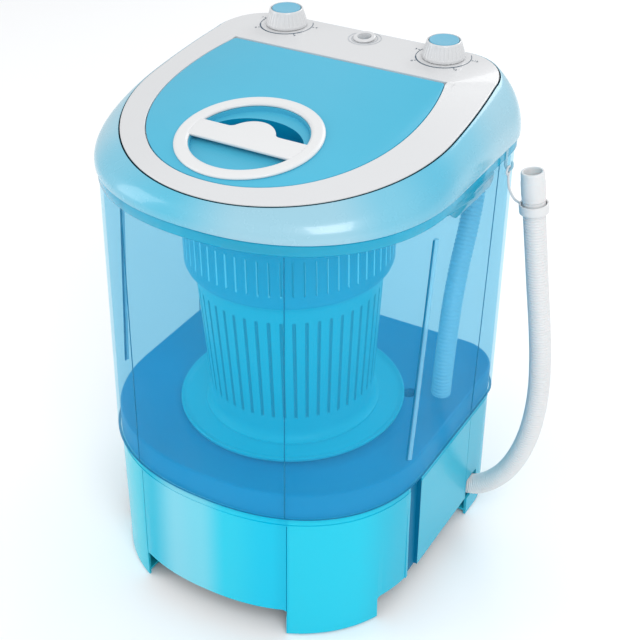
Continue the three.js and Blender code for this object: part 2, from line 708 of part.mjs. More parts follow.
addPiece('pulsator', turned([
  [SHAFT_RADIUS + GAP, 180.5], [118, 180.5], [PULSATOR_RADIUS, 185], [PULSATOR_RADIUS, 188],
  [PULSATOR_RADIUS - 2.5, 188], [117, BASKET_FOOT - GAP], [27, BASKET_FOOT - GAP], [22, 208], [18, 212],
  [8, 212], [8, 206], [3.2, 206], [3.2, SHAFT_TOP + GAP], [SHAFT_RADIUS + GAP, SHAFT_TOP + GAP],
]), basketBlue, spinner);

addPiece('pulsator_screw', turned([
  [0, 187], [2.8, 187], [2.8, 206.3], [7, 206.3], [7, 209], [5, 211], [0, 211],
], 16), steel, spinner);

function makeBasket() {
  const body = turned([
    [28, BASKET_FOOT], [97, BASKET_FOOT], [97, BASKET_FOOT + 3], [91.5, 192], [90, 198], [100, 354],
    [111, BAND_BOTTOM], [111, BASKET_TOP - 4], [114, BASKET_TOP - 4], [114, BASKET_TOP],
    [108.5, BASKET_TOP], [108.5, BAND_BOTTOM + 1], [97.5, 356], [87.5, 198], [86, BASKET_FOOT + 3],
    [30.5, BASKET_FOOT + 3], [25, 219], [20, 222], [0, 222], [0, 219.5], [19, 219.5], [22.7, 216.5],
  ], ROUND);
  const slots = [];
  for (let i = 0; i < BASKET_SLOTS; i++) {
    const slot = block([95, -1.5, BAND_BOTTOM + 10], [120, 1.5, BASKET_TOP - 14]);
    slots.push(slot.rotateZ((Math.PI * 2 * i) / BASKET_SLOTS));
  }
  return carve(body, slots);
}
addPiece('spin_basket', makeBasket(), basketBlue, spinner);

function pulley(root, flange, bore, hub, web) {
  return turned([
    [bore, PULLEY_LOW], [hub, PULLEY_LOW], [hub, 63], [web, 63], [web, PULLEY_LOW], [flange, PULLEY_LOW],
    [flange, GROOVE_LOW - 1], [root, GROOVE_LOW], [root, GROOVE_HIGH], [flange, GROOVE_HIGH + 1],
    [flange, PULLEY_HIGH], [web, PULLEY_HIGH], [web, 67], [hub, 67], [hub, PULLEY_HIGH], [bore, PULLEY_HIGH],
  ], ROUND);
}
addPiece('driven_pulley', pulley(BIG_ROOT, BIG_ROOT + 5, SHAFT_RADIUS + GAP, 17, 54), castMetal, spinner);
addPiece('pulley_nut', carve(
  new THREE.CylinderGeometry(13, 13, 7, 6).rotateX(Math.PI / 2).translate(0, 0, 54),
  [rod(SHAFT_RADIUS + GAP, 40, 70, 24)],
), steel, spinner);

// ---------- bearings, under the tub floor ----------

const bearings = new THREE.Group();
bearings.position.y = AXIS_Y;
washerGroup.add(bearings);

addPiece('bearing_housing', turned([
  [10, 104], [22, 104], [24, 108], [24, 166], [46, 170], [46, FLOOR_BOTTOM - GAP], [16.3, FLOOR_BOTTOM - GAP],
  [16.3, 110], [10, 110],
]), castMetal, bearings);
for (const [name, low] of [['lower_bearing', 110.3], ['upper_bearing', 152]]) {
  addPiece(name, washer(SHAFT_RADIUS + GAP, 16, low, low + 12, 18), steel, bearings);
}
addPiece('water_seal', turned([
  [SHAFT_RADIUS + GAP, 165], [16, 165], [16, FLOOR_BOTTOM - GAP], [13.6, FLOOR_BOTTOM], [13.6, 179.5],
  [10, 179.5], [SHAFT_RADIUS + GAP, 177],
], 18), rubber, bearings);

// ---------- motor and belt ----------

const motor = new THREE.Group();
motor.position.set(MOTOR_X, MOTOR_Y, 0);
washerGroup.add(motor);

const MOTOR_LOW = 84;
const MOTOR_HIGH = 148;
const MOTOR_OUTER = 38;
const MOTOR_SHAFT = 5;
const EAR_REACH = 47;
const BRACKET_LOW = MOTOR_HIGH + GAP;
const BRACKET_HIGH = BRACKET_LOW + WALL;

const SCREW_SPOTS = [[-1, -1], [1, -1], [1, 1], [-1, 1]].map(([x, y]) => [x * 30, y * 30]);

function makeMotorCase() {
  const can = turned([
    [MOTOR_SHAFT + 1, MOTOR_LOW], [MOTOR_OUTER - 4, MOTOR_LOW], [MOTOR_OUTER, MOTOR_LOW + 4],
    [MOTOR_OUTER, MOTOR_HIGH], [MOTOR_SHAFT + 1, MOTOR_HIGH], [MOTOR_SHAFT + 1, MOTOR_HIGH - WALL],
    [MOTOR_OUTER - WALL, MOTOR_HIGH - WALL], [MOTOR_OUTER - WALL, MOTOR_LOW + 4], [MOTOR_SHAFT + 1, MOTOR_LOW + 3],
  ]);
  const flange = slab([[-38, -38], [38, -38], [38, 38], [-38, 38]].map(([x, y]) => new THREE.Vector2(x, y)),
    MOTOR_HIGH - 4, MOTOR_HIGH);
  const middle = rod(MOTOR_OUTER - 1, MOTOR_HIGH - 10, MOTOR_HIGH + 10, ROUND);
  const ears = surface(solid(flange).subtract(solid(middle)));
  const bores = SCREW_SPOTS.map(([x, y]) => rod(SCREW_SHANK + GAP, 100, 200, 12).translate(x, y, 0));
  return carve(fuse(can, [ears]), bores);
}

function makeMotorBracket() {
  const plate = block([-EAR_REACH, -EAR_REACH, BRACKET_LOW], [EAR_REACH, EAR_REACH, BRACKET_HIGH]);
  const posts = [[-1, -1], [1, -1], [1, 1], [-1, 1]].map(([x, y]) => (
    rod(5, BRACKET_HIGH - 1, FLOOR_BOTTOM - GAP, 16).translate(x * 41, y * 41, 0)
  ));
  const bores = SCREW_SPOTS.map(([x, y]) => rod(SCREW_SHANK + GAP, 100, 200, 12).translate(x, y, 0));
  return carve(fuse(plate, posts), [rod(12, 100, 200), ...bores]);
}

addPiece('motor_case', makeMotorCase(), darkPlastic, motor);
addPiece('motor_stator', washer(24, MOTOR_OUTER - WALL - GAP, 96, 134, ROUND), copper, motor);
addPiece('motor_bracket', makeMotorBracket(), castMetal, motor);
SCREW_SPOTS.forEach(([x, y], i) => {
  const bolt = screw(4, 2.5, 12).rotateX(Math.PI);
  addPiece(`motor_screw_${i + 1}`, bolt, steel, motor).position.set(x, y, BRACKET_HIGH + GAP);
});
addPiece('motor_rotor', turned([
  [0, 54], [MOTOR_SHAFT, 54], [MOTOR_SHAFT, 98], [23, 98], [23, 132], [MOTOR_SHAFT, 132], [MOTOR_SHAFT, 152],
  [0, 152],
], 18), steel, motor);
addPiece('motor_pulley', turned([
  [MOTOR_SHAFT + GAP, PULLEY_LOW], [SMALL_ROOT + 5, PULLEY_LOW], [SMALL_ROOT + 5, GROOVE_LOW - 1],
  [SMALL_ROOT, GROOVE_LOW], [SMALL_ROOT, GROOVE_HIGH], [SMALL_ROOT + 5, GROOVE_HIGH + 1],
  [SMALL_ROOT + 5, PULLEY_HIGH], [MOTOR_SHAFT + GAP, PULLEY_HIGH],
], 16), darkPlastic, motor);

// The belt's outline is two arcs round the pulleys, joined by their outer tangents.
function beltLoop(offset) {
  const from = new THREE.Vector2(0, AXIS_Y);
  const to = new THREE.Vector2(MOTOR_X, MOTOR_Y);
  const big = BIG_ROOT + GAP + offset;
  const small = SMALL_ROOT + GAP + offset;
  const heading = Math.atan2(to.y - from.y, to.x - from.x);
  const open = Math.acos((big - small) / from.distanceTo(to));
  const arc = (centre, radius, start, sweepAngle, steps) => {
    const points = [];
    for (let i = 0; i <= steps; i++) {
      const turn = start + (sweepAngle * i) / steps;
      points.push(new THREE.Vector2(centre.x + radius * Math.cos(turn), centre.y + radius * Math.sin(turn)));
    }
    return points;
  };
  return [
    ...arc(from, big, heading + open, 2 * (Math.PI - open), 26),
    ...arc(to, small, heading - open, 2 * open, 8),
  ];
}
addPiece('drive_belt', slab(beltLoop(BELT_THICK), 61, 69, [beltLoop(0)]), rubber);

addPiece('capacitor', rod(15, -28, 28, 28).rotateY(Math.PI / 2), darkPlastic).position.set(60, -95, 150);

// ---------- drain and overflow ----------

const drainRoute = [
  [DRAIN_X, DRAIN_Y, FLOOR_BOTTOM - GAP], [DRAIN_X, DRAIN_Y, 140], [DRAIN_X, DRAIN_Y, 100],
  [116, 73, 66], [129, 92, 48], [147, 104, 43], [OUTLET.x - 1, OUTLET.y, OUTLET.z],
].map(([x, y, z]) => new THREE.Vector3(x, y, z));
addPiece('drain_elbow', sweep(drainRoute, HOSE_RADIUS - 0.5, 14, 5, DRAIN_BORE), floorBlue);

const overflowRoute = [
  [150, 128, 440], [152, 124, 415], [154, 108, 385], [156, 86, 350], [157, 70, 310], [157, 62, 270],
  [156, 58, 230], [155, 57, 200],
].map(([x, y, z]) => new THREE.Vector3(x, y, z));
addPiece('overflow_hose', sweep(overflowRoute, 11, 10, 5, 8), hoseWhite);

// The drain hose leaves the rear right corner, swings out and climbs to the hook under the collar.
const hoseRoute = [
  [164, 104, 43], [174, 104, 43], [187, 104, 47], [204, 104.5, 60], [220, 105.5, 80], [233, 106.5, 107],
  [242, 107.5, 138], [247, 108.5, 172], [248.5, 109, 208], [246.5, 109, 248], [242, 109, 290],
  [236, 109, 334], [230.5, 109, 376], [225.5, 109, 414], [223, 109, 434],
].map(([x, y, z]) => new THREE.Vector3(x, y, z));
const HOSE_STEPS = 22;
addPiece('drain_hose', sweep(hoseRoute, HOSE_RADIUS, HOSE_STEPS, 6), hoseWhite);

const hoseEnd = hoseRoute[hoseRoute.length - 1];
const hoseLean = new THREE.Vector3().subVectors(hoseEnd, hoseRoute[hoseRoute.length - 2]).normalize();
const cuff = addPiece('hose_cuff', turned([
  [9.5, GAP], [12.3, GAP], [12.3, 4], [12.6, 6], [12.6, 30], [11.8, 32], [9.5, 32],
], 16), hoseWhite);
cuff.position.copy(hoseEnd);
cuff.quaternion.setFromUnitVectors(new THREE.Vector3(0, 0, 1), hoseLean);

const EYE_X = 191.7; // the strap's eye hangs in the bend of the hook
const EYE_Z = 457.8;
function makeStrap() {
  const ring = washer(HOSE_RADIUS + 1.2, HOSE_RADIUS + 3.4, -5, 5, 20);
  ring.applyQuaternion(new THREE.Quaternion().setFromUnitVectors(new THREE.Vector3(0, 0, 1), hoseLean));
  ring.translate(hoseEnd.x + 1, hoseEnd.y, hoseEnd.z - 8);
  const tail = sweep([
    new THREE.Vector3(hoseEnd.x - 13, hoseEnd.y, hoseEnd.z - 8), new THREE.Vector3(201, 111, 429),
    new THREE.Vector3(194, 112.5, 439), new THREE.Vector3(EYE_X, HOOK_Y, EYE_Z - 4),
  ], 1.3, 5, 3);
  const eye = new THREE.TorusGeometry(4.2, 1.2, 6, 12).rotateY(Math.PI / 2);
  eye.translate(EYE_X, HOOK_Y, EYE_Z);
  return fuse(ring, [tail, eye]);
}
addPiece('hose_strap', makeStrap(), whitePlastic);

const hookRoute = [
  [188.4, COLLAR_BOTTOM - GAP], [188.4, 472], [188.5, 462], [191.7, 458.4], [195, 462], [195.1, 469],
].map(([x, z]) => new THREE.Vector3(x, HOOK_Y, z));
addPiece('hose_hook', sweep(hookRoute, 1.5, 10, 4), pearlBlue);

export default washerGroup;
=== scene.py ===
"""Looks of the portable mini washer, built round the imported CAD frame.

Shapes are worked out in millimetres and turned into metres when a piece is finished.
"""
import json
import math

import bpy
import numpy as np
from mathutils import Matrix, Vector
from mathutils.bvhtree import BVHTree


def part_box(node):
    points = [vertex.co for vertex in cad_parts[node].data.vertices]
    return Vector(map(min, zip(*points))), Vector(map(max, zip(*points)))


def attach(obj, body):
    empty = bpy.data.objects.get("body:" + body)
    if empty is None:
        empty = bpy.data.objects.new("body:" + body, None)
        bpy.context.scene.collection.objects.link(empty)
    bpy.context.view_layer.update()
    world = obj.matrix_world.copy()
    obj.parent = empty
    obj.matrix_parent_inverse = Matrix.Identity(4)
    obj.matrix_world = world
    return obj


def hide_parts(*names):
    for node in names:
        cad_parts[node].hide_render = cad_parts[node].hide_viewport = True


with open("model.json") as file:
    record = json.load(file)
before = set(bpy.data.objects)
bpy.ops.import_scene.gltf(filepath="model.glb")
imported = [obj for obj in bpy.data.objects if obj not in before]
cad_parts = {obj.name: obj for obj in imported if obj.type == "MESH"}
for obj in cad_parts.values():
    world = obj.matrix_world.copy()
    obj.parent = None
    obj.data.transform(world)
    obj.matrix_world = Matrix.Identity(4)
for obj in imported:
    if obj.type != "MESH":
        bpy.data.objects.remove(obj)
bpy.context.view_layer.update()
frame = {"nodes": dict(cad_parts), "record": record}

MM = 0.001
GAP = 0.3
WALL = 3.0


def span(node):
    """Lowest and highest corner of a CAD node, in millimetres."""
    low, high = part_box(node)
    return low / MM, high / MM


def into_scene(name, data):
    """A new object of data, linked to the scene."""
    made = bpy.data.objects.new(name, data)
    bpy.context.scene.collection.objects.link(made)
    return made


# ---------- camera ----------

def add_camera():
    azimuth, elevation, roll = math.radians(30.40), math.radians(33.73), math.radians(-0.54)
    back = Vector((
        math.sin(azimuth) * math.cos(elevation),
        -math.cos(azimuth) * math.cos(elevation),
        math.sin(elevation),
    ))
    right = (-back).cross(Vector((0, 0, 1))).normalized()
    up = right.cross(-back)
    turned_right = right * math.cos(roll) + up * math.sin(roll)
    turned_up = up * math.cos(roll) - right * math.sin(roll)
    data = bpy.data.cameras.new("view")
    data.sensor_width = 36.0
    data.lens = 74.7
    camera = into_scene("view", data)
    axes = Matrix((turned_right, turned_up, back)).transposed()
    camera.matrix_world = Matrix.Translation((0.6341, -1.0213, 1.0805)) @ axes.to_4x4()
    bpy.context.scene.camera = camera


add_camera()

# ---------- outlines shared by the shells ----------

ARC_STEPS = 96
SIDE_STEPS = 10
CORNER_STEPS = 12
BACK_STEPS = 16


def line(half, front, shoulder, back, corner, fullness, taper=0.0):
    return {
        "half": half, "front": front, "shoulder": shoulder, "back": back,
        "corner": corner, "fullness": fullness, "taper": taper,
    }


FOOT_LINE = line(178, -190.5, -31, 174, 50, 2.25)
BASE_LINE = line(180, -182.5, -31, 174, 50, 2.25)
TUB_LOW = line(183, -185.5, -31, 177, 52, 2.27)
TUB_HIGH = line(186, -173.8, -5, 186, 56, 2.25)
RIM_LINE = line(188, -175.8, -3, 188, 58, 2.25)
SKIRT_LINE = line(190, -177.3, -3, 190.8, 59, 2.25)
PANEL_LINE = line(173.3, -170.5, 8.8, 172, 54, 2.03, 7)
LID_LINE = line(135.5, -154, 8, 92.6, 2, 2.12, 12)

BASE_TOP = span("base_shell")[1].z
TUB_BOTTOM = span("tub_shell")[0].z
TUB_TOP = span("tub_shell")[1].z
RIM_BOTTOM = TUB_TOP - 11.4
COLLAR_BOTTOM = span("collar")[0].z
AXIS_Y = -2.0

DECK_TILT = math.atan(0.113)
DECK = Matrix.Translation((0, 8, 524.8)) @ Matrix.Rotation(DECK_TILT, 4, "X")
OFF_DECK = DECK.inverted()
PANEL_EDGE_W = 0.6
LID_TOP_W = 9.6
LEDGE_W = 5.2


def outline(of, inset=0.0):
    """A superellipse front, straight sides and round rear corners, as an array of x, y."""
    half, front, back = of["half"] - inset, of["front"] + inset, of["back"] - inset
    corner = max(of["corner"] - inset, 1.0)
    power = 2 / of["fullness"]
    shoulder, side_back = of["shoulder"], back - corner
    turn = np.linspace(0, math.pi, ARC_STEPS + 1)
    across, forward = np.cos(turn), np.abs(np.sin(turn)) ** power
    arc = np.column_stack([
        -half * np.sign(across) * np.abs(across) ** power,
        shoulder - (shoulder - front) * forward,
    ])
    share = np.arange(1, SIDE_STEPS) / SIDE_STEPS
    side = np.column_stack([half - of["taper"] * share ** 2, shoulder + (side_back - shoulder) * share])
    corner_x = half - of["taper"] - corner
    quarter = np.linspace(0, math.pi / 2, CORNER_STEPS + 1)
    right = np.column_stack([corner_x + corner * np.cos(quarter), side_back + corner * np.sin(quarter)])
    across_back = corner_x * (1 - 2 * np.arange(1, BACK_STEPS) / BACK_STEPS)
    rear = np.column_stack([across_back, np.full(BACK_STEPS - 1, back)])
    left = np.column_stack([-right[::-1, 0], right[::-1, 1]])
    mirrored = np.column_stack([-side[::-1, 0], side[::-1, 1]])
    return np.vstack([arc, side, right, rear, left, mirrored])


def mix_lines(low, high, share):
    return {key: low[key] + (high[key] - low[key]) * share for key in low}


def base_line(z):
    return mix_lines(FOOT_LINE, BASE_LINE, z / BASE_TOP)


def tub_line(z):
    return mix_lines(TUB_LOW, TUB_HIGH, (z - TUB_BOTTOM) / (TUB_TOP - TUB_BOTTOM))


def ring(of, inset, z):
    flat = outline(of, inset)
    return np.column_stack([flat, np.full(len(flat), z)])


def rings_of(of, *places):
    """Rings of one outline, at (inset, z) places."""
    return [ring(of, inset, z) for inset, z in places]


def circle_like(like, radius, z):
    """A circle round the spin axis with its points in the same directions as those of a ring."""
    turn = np.arctan2(like[:, 1] - AXIS_Y, like[:, 0])
    return np.column_stack([
        radius * np.cos(turn), AXIS_Y + radius * np.sin(turn), np.full(len(turn), z),
    ])


def on_deck(points):
    matrix = np.array(DECK)
    return points @ matrix[:3, :3].T + matrix[:3, 3]


# ---------- mesh helpers ----------

def mesh_object(name, verts, faces):
    mesh = bpy.data.meshes.new(name)
    mesh.from_pydata([tuple(map(float, v)) for v in verts], [], faces)
    mesh.validate()
    return into_scene(name, mesh)


def loft(name, rings, closed=True):
    """Skins rings of equal length. A closed loft joins its last ring to its first."""
    count = len(rings[0])
    faces = []
    for r in range(len(rings) if closed else len(rings) - 1):
        low, high = r * count, (r + 1) % len(rings) * count
        for i in range(count):
            j = (i + 1) % count
            faces.append((low + i, low + j, high + j, high + i))
    if not closed:
        faces.append(tuple(range(count))[::-1])
        faces.append(tuple(range((len(rings) - 1) * count, len(rings) * count)))
    made = mesh_object(name, np.vstack(rings), faces)
    face_outward(made)
    return made


def face_outward(made):
    mesh = made.data
    mesh.calc_loop_triangles()
    co = np.array([v.co for v in mesh.vertices])
    tri = np.array([t.vertices for t in mesh.loop_triangles])
    a, b, c = co[tri[:, 0]], co[tri[:, 1]], co[tri[:, 2]]
    if (a * np.cross(b, c)).sum() < 0:
        mesh.flip_normals()


def lathe(name, profile, segments=96, centre=(0.0, 0.0), warp=None):
    """Turns a closed profile of (radius, z) about a Z axis. warp(radii, turns, z) may reshape it."""
    turns = np.arange(segments) * 2 * math.pi / segments
    rings = []
    for radius, z in profile:
        radii = np.full(segments, float(radius))
        if warp is not None:
            radii = warp(radii, turns, z)
        rings.append(np.column_stack([
            centre[0] + radii * np.cos(turns), centre[1] + radii * np.sin(turns), np.full(segments, z),
        ]))
    on_axis = profile[0][0] < 1e-6 and profile[-1][0] < 1e-6
    if not on_axis:
        return loft(name, rings)
    return loft(name, rings[1:-1], closed=False)


def rounded(points, radius, steps=3, closed=True):
    """Rounds the corners of a 2-D polygon."""
    pts = [np.array(p, float) for p in points]
    out = []
    for i, here in enumerate(pts):
        if not closed and i in (0, len(pts) - 1):
            out.append(here)
            continue
        before, after = pts[i - 1] - here, pts[(i + 1) % len(pts)] - here
        reach = min(radius, 0.45 * np.linalg.norm(before), 0.45 * np.linalg.norm(after))
        a = here + before / np.linalg.norm(before) * reach
        b = here + after / np.linalg.norm(after) * reach
        for k in range(steps + 1):
            t = k / steps
            out.append((1 - t) ** 2 * a + 2 * t * (1 - t) * here + t ** 2 * b)
    return [tuple(p) for p in out]


def prism(name, points, low, high):
    count = len(points)
    verts = [(x, y, low) for x, y in points] + [(x, y, high) for x, y in points]
    faces = [(i, (i + 1) % count, count + (i + 1) % count, count + i) for i in range(count)]
    faces += [tuple(range(count))[::-1], tuple(range(count, 2 * count))]
    made = mesh_object(name, verts, faces)
    face_outward(made)
    return made


def block(name, low, high):
    corners = [(low[0], low[1]), (high[0], low[1]), (high[0], high[1]), (low[0], high[1])]
    return prism(name, corners, low[2], high[2])


def side_block(name, s, across, along_y, upward):
    """A block on side s (-1 left, 1 right), with its reach across, along y and upward."""
    near, far = sorted((s * across[0], s * across[1]))
    return block(name, (near, along_y[0], upward[0]), (far, along_y[1], upward[1]))


def cylinder(name, radius, low, high, segments=64, centre=(0.0, 0.0)):
    turns = np.arange(segments) * 2 * math.pi / segments
    points = [(centre[0] + radius * math.cos(t), centre[1] + radius * math.sin(t)) for t in turns]
    return prism(name, points, low, high)


def evaluated_mesh(made):
    graph = bpy.context.evaluated_depsgraph_get()
    return bpy.data.meshes.new_from_object(made.evaluated_get(graph))


def apply_modifiers(made):
    mesh = evaluated_mesh(made)
    made.modifiers.clear()
    made.data = mesh
    return made


def combine(made, others, operation):
    """Joins others to made (UNION) or cuts them from it (DIFFERENCE), and removes them."""
    for other in others:
        modifier = made.modifiers.new(operation, "BOOLEAN")
        modifier.operation = operation
        modifier.solver = "MANIFOLD"
        modifier.object = other
        apply_modifiers(made)
        bpy.data.objects.remove(other)
    return made


def soften(made, width, segments=2, angle=35):
    modifier = made.modifiers.new("soften", "BEVEL")
    modifier.width = width
    modifier.segments = segments
    modifier.limit_method = "ANGLE"
    modifier.angle_limit = math.radians(angle)
    modifier.use_clamp_overlap = True
    return apply_modifiers(made)


def along(points, count):
    """count points evenly spaced along a smooth centripetal curve through points."""
    pts = np.array(points, float)
    full = np.vstack([2 * pts[0] - pts[1], pts, 2 * pts[-1] - pts[-2]])
    fine = []
    for i in range(1, len(full) - 2):
        p = full[i - 1:i + 3]
        knot = np.concatenate([[0], np.cumsum(np.linalg.norm(np.diff(p, axis=0), axis=1) ** 0.5)])
        for t in np.linspace(knot[1], knot[2], 24, endpoint=False):
            a = [(knot[k + 1] - t) / (knot[k + 1] - knot[k]) * p[k]
                 + (t - knot[k]) / (knot[k + 1] - knot[k]) * p[k + 1] for k in range(3)]
            b = [(knot[k + 2] - t) / (knot[k + 2] - knot[k]) * a[k]
                 + (t - knot[k]) / (knot[k + 2] - knot[k]) * a[k + 1] for k in range(2)]
            fine.append((knot[2] - t) / (knot[2] - knot[1]) * b[0]
                        + (t - knot[1]) / (knot[2] - knot[1]) * b[1])
    fine = np.array(fine + [pts[-1]])
    far = np.concatenate([[0], np.cumsum(np.linalg.norm(np.diff(fine, axis=0), axis=1))])
    want = np.linspace(0, far[-1], count)
    return np.column_stack([np.interp(want, far, fine[:, k]) for k in range(3)])


def tube(name, path, radii, sides=24, bore=None):
    """A tube along a path, with its own radius at each point and, if asked, an open bore."""
    tangents = np.gradient(path, axis=0)
    tangents /= np.linalg.norm(tangents, axis=1)[:, None]
    side = np.cross(tangents[0], (0, 1, 0))
    turns = np.arange(sides) * 2 * math.pi / sides
    outer, inner = [], []
    for point, tangent, radius in zip(path, tangents, radii):
        side = side - tangent * (side @ tangent)
        side /= np.linalg.norm(side)
        other = np.cross(tangent, side)
        spoke = np.outer(np.cos(turns), side) + np.outer(np.sin(turns), other)
        outer.append(point + spoke * radius)
        if bore:
            inner.append(point + spoke * bore)
    if bore:
        return loft(name, outer + inner[::-1])
    return loft(name, outer, closed=False)


def finish(made, material, body, nodes=(), smooth=32):
    """Scales a piece to metres, shades it, gives it its material and puts it on its body."""
    made.data.transform(Matrix.Scale(MM, 4))
    made.data.materials.clear()
    for one in material if isinstance(material, (list, tuple)) else [material]:
        made.data.materials.append(one)
    made.data.shade_smooth()
    made.data.set_sharp_from_angle(angle=math.radians(smooth))
    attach(made, body)
    if nodes:
        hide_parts(*nodes)
    return made


def front_y(of, x):
    """Where the front of an outline is, at x across."""
    depth = (1 - (abs(x) / of["half"]) ** of["fullness"]) ** (1 / of["fullness"])
    return of["shoulder"] - (of["shoulder"] - of["front"]) * depth


def side_x(of, y):
    """How far out the side of an outline is, at y."""
    if y >= of["shoulder"]:
        return of["half"]
    share = (of["shoulder"] - y) / (of["shoulder"] - of["front"])
    return of["half"] * (1 - share ** of["fullness"]) ** (1 / of["fullness"])


# ---------- materials ----------

def blank(name):
    made = bpy.data.materials.new(name)
    made.use_nodes = True
    tree = made.node_tree
    return made, tree, tree.nodes["Principled BSDF"], tree.nodes["Material Output"]


def noise(tree, scale, detail=2.0, stretch=(1, 1, 1)):
    place = tree.nodes.new("ShaderNodeTexCoord")
    mapping = tree.nodes.new("ShaderNodeMapping")
    mapping.inputs["Scale"].default_value = stretch
    texture = tree.nodes.new("ShaderNodeTexNoise")
    texture.inputs["Scale"].default_value = scale
    texture.inputs["Detail"].default_value = detail
    tree.links.new(place.outputs["Object"], mapping.inputs["Vector"])
    tree.links.new(mapping.outputs["Vector"], texture.inputs["Vector"])
    return texture.outputs["Fac"]


def shade_of(colour, factor):
    return tuple(min(max(c * factor, 0.0), 1.0) for c in colour[:3]) + (1.0,)


def vary_colour(tree, socket, colour, spread, scale, stretch=(1, 1, 1)):
    blend = tree.nodes.new("ShaderNodeMix")
    blend.data_type = "RGBA"
    blend.inputs["A"].default_value = shade_of(colour, 1 - spread)
    blend.inputs["B"].default_value = shade_of(colour, 1 + spread)
    tree.links.new(noise(tree, scale, 3.0, stretch), blend.inputs["Factor"])
    tree.links.new(blend.outputs["Result"], socket)


def vary_roughness(tree, socket, rough, spread, scale, stretch=(1, 1, 1)):
    spread_node = tree.nodes.new("ShaderNodeMapRange")
    spread_node.inputs["To Min"].default_value = max(rough - spread, 0.02)
    spread_node.inputs["To Max"].default_value = rough + spread
    tree.links.new(noise(tree, scale, 3.0, stretch), spread_node.inputs["Value"])
    tree.links.new(spread_node.outputs["Result"], socket)


def roughen(tree, socket, scale, strength, stretch=(1, 1, 1)):
    bump = tree.nodes.new("ShaderNodeBump")
    bump.inputs["Strength"].default_value = strength
    bump.inputs["Distance"].default_value = 0.0003
    tree.links.new(noise(tree, scale, 2.0, stretch), bump.inputs["Height"])
    tree.links.new(bump.outputs["Normal"], socket)


def plastic(
    name, colour, rough, grain=1400, bump=0.05, coat=0.0, spread=0.03, glow=0.0, gloss=0.5, painted_glow=0.0,
):
    """Moulded plastic: slow colour drift, uneven gloss and a fine moulded grain.

    glow is light that scatters under the surface. The emission set by lit is a painted glow: the plastic
    gives off its own colour as light, standing in for light that would pass through from behind.
    A spread of 0 leaves the base colour to colour_bands.
    """
    made, tree, shader, _ = blank(name)
    if spread:
        vary_colour(tree, shader.inputs["Base Color"], colour, spread, 7.0)
    vary_roughness(tree, shader.inputs["Roughness"], rough, rough * 0.10, 60.0)
    roughen(tree, shader.inputs["Normal"], grain, bump)
    shader.inputs["IOR"].default_value = 1.5
    shader.inputs["Specular IOR Level"].default_value = gloss
    # painted glow: the plastic gives off its own colour as light, though it is no lamp
    shader.inputs["Emission Color"].default_value = tuple(colour) + (1.0,)
    shader.inputs["Emission Strength"].default_value = painted_glow
    shader.inputs["Coat Weight"].default_value = coat
    shader.inputs["Coat Roughness"].default_value = 0.06
    if glow:
        shader.inputs["Subsurface Weight"].default_value = glow
        shader.inputs["Subsurface Radius"].default_value = (0.4, 0.9, 1.0)
        shader.inputs["Subsurface Scale"].default_value = 0.01
    return made


def metal(name, colour, rough, stretch, scale=500, bump=0.12):
    """Turned or cast metal, with marks that run one way where stretch says so."""
    made, tree, shader, _ = blank(name)
    vary_colour(tree, shader.inputs["Base Color"], colour, 0.08, 40.0)
    vary_roughness(tree, shader.inputs["Roughness"], rough, rough * 0.4, scale, stretch)
    roughen(tree, shader.inputs["Normal"], scale, bump, stretch)
    shader.inputs["Metallic"].default_value = 1.0
    return made


def clear_plastic(name, tint, colour, share, spread=0.04):
    """Clear tinted plastic: mostly see-through, with a thin skin of colour and gloss."""
    made, tree, shader, output = blank(name)
    vary_colour(tree, shader.inputs["Base Color"], colour, 0.05, 5.0)
    vary_roughness(tree, shader.inputs["Roughness"], 0.09, 0.03, 40.0)
    roughen(tree, shader.inputs["Normal"], 90, 0.06, (1, 1, 0.15))
    clear = tree.nodes.new("ShaderNodeBsdfTransparent")
    clear.inputs["Color"].default_value = tuple(tint) + (1.0,)
    skin = tree.nodes.new("ShaderNodeMapRange")
    skin.inputs["To Min"].default_value = share - spread
    skin.inputs["To Max"].default_value = share + spread
    tree.links.new(noise(tree, 9.0, 2.0, (1, 1, 0.1)), skin.inputs["Value"])
    mixed = tree.nodes.new("ShaderNodeMixShader")
    tree.links.new(skin.outputs["Result"], mixed.inputs["Fac"])
    tree.links.new(clear.outputs["BSDF"], mixed.inputs[1])
    tree.links.new(shader.outputs["BSDF"], mixed.inputs[2])
    tree.links.new(mixed.outputs["Shader"], output.inputs["Surface"])
    return made


def wound_copper():
    made, tree, shader, _ = blank("wound_copper")
    place = tree.nodes.new("ShaderNodeTexCoord")
    wave = tree.nodes.new("ShaderNodeTexWave")
    wave.bands_direction = "Z"
    wave.inputs["Scale"].default_value = 160
    wave.inputs["Distortion"].default_value = 1.2
    blend = tree.nodes.new("ShaderNodeMix")
    blend.data_type = "RGBA"
    blend.inputs["A"].default_value = (0.28, 0.10, 0.04, 1)
    blend.inputs["B"].default_value = (0.72, 0.34, 0.16, 1)
    bump = tree.nodes.new("ShaderNodeBump")
    bump.inputs["Distance"].default_value = 0.0006
    tree.links.new(place.outputs["Object"], wave.inputs["Vector"])
    tree.links.new(wave.outputs["Fac"], blend.inputs["Factor"])
    tree.links.new(blend.outputs["Result"], shader.inputs["Base Color"])
    tree.links.new(wave.outputs["Fac"], bump.inputs["Height"])
    tree.links.new(bump.outputs["Normal"], shader.inputs["Normal"])
    shader.inputs["Metallic"].default_value = 1.0
    shader.inputs["Roughness"].default_value = 0.4
    return made


def colour_bands(made, fraction, bands):
    """Colours a plastic by a ramp of (position, colour) bands along fraction, a socket from 0 to 1."""
    tree = made.node_tree
    ramp = tree.nodes.new("ShaderNodeValToRGB")
    ramp.color_ramp.interpolation = "EASE"
    stops = ramp.color_ramp.elements
    while len(stops) < len(bands):
        stops.new(0.5)
    for stop, (position, colour) in zip(stops, bands):
        stop.position = position
        stop.color = colour + (1.0,)
    tree.links.new(fraction, ramp.inputs["Fac"])
    tree.links.new(ramp.outputs["Color"], tree.nodes["Principled BSDF"].inputs["Base Color"])
    return made


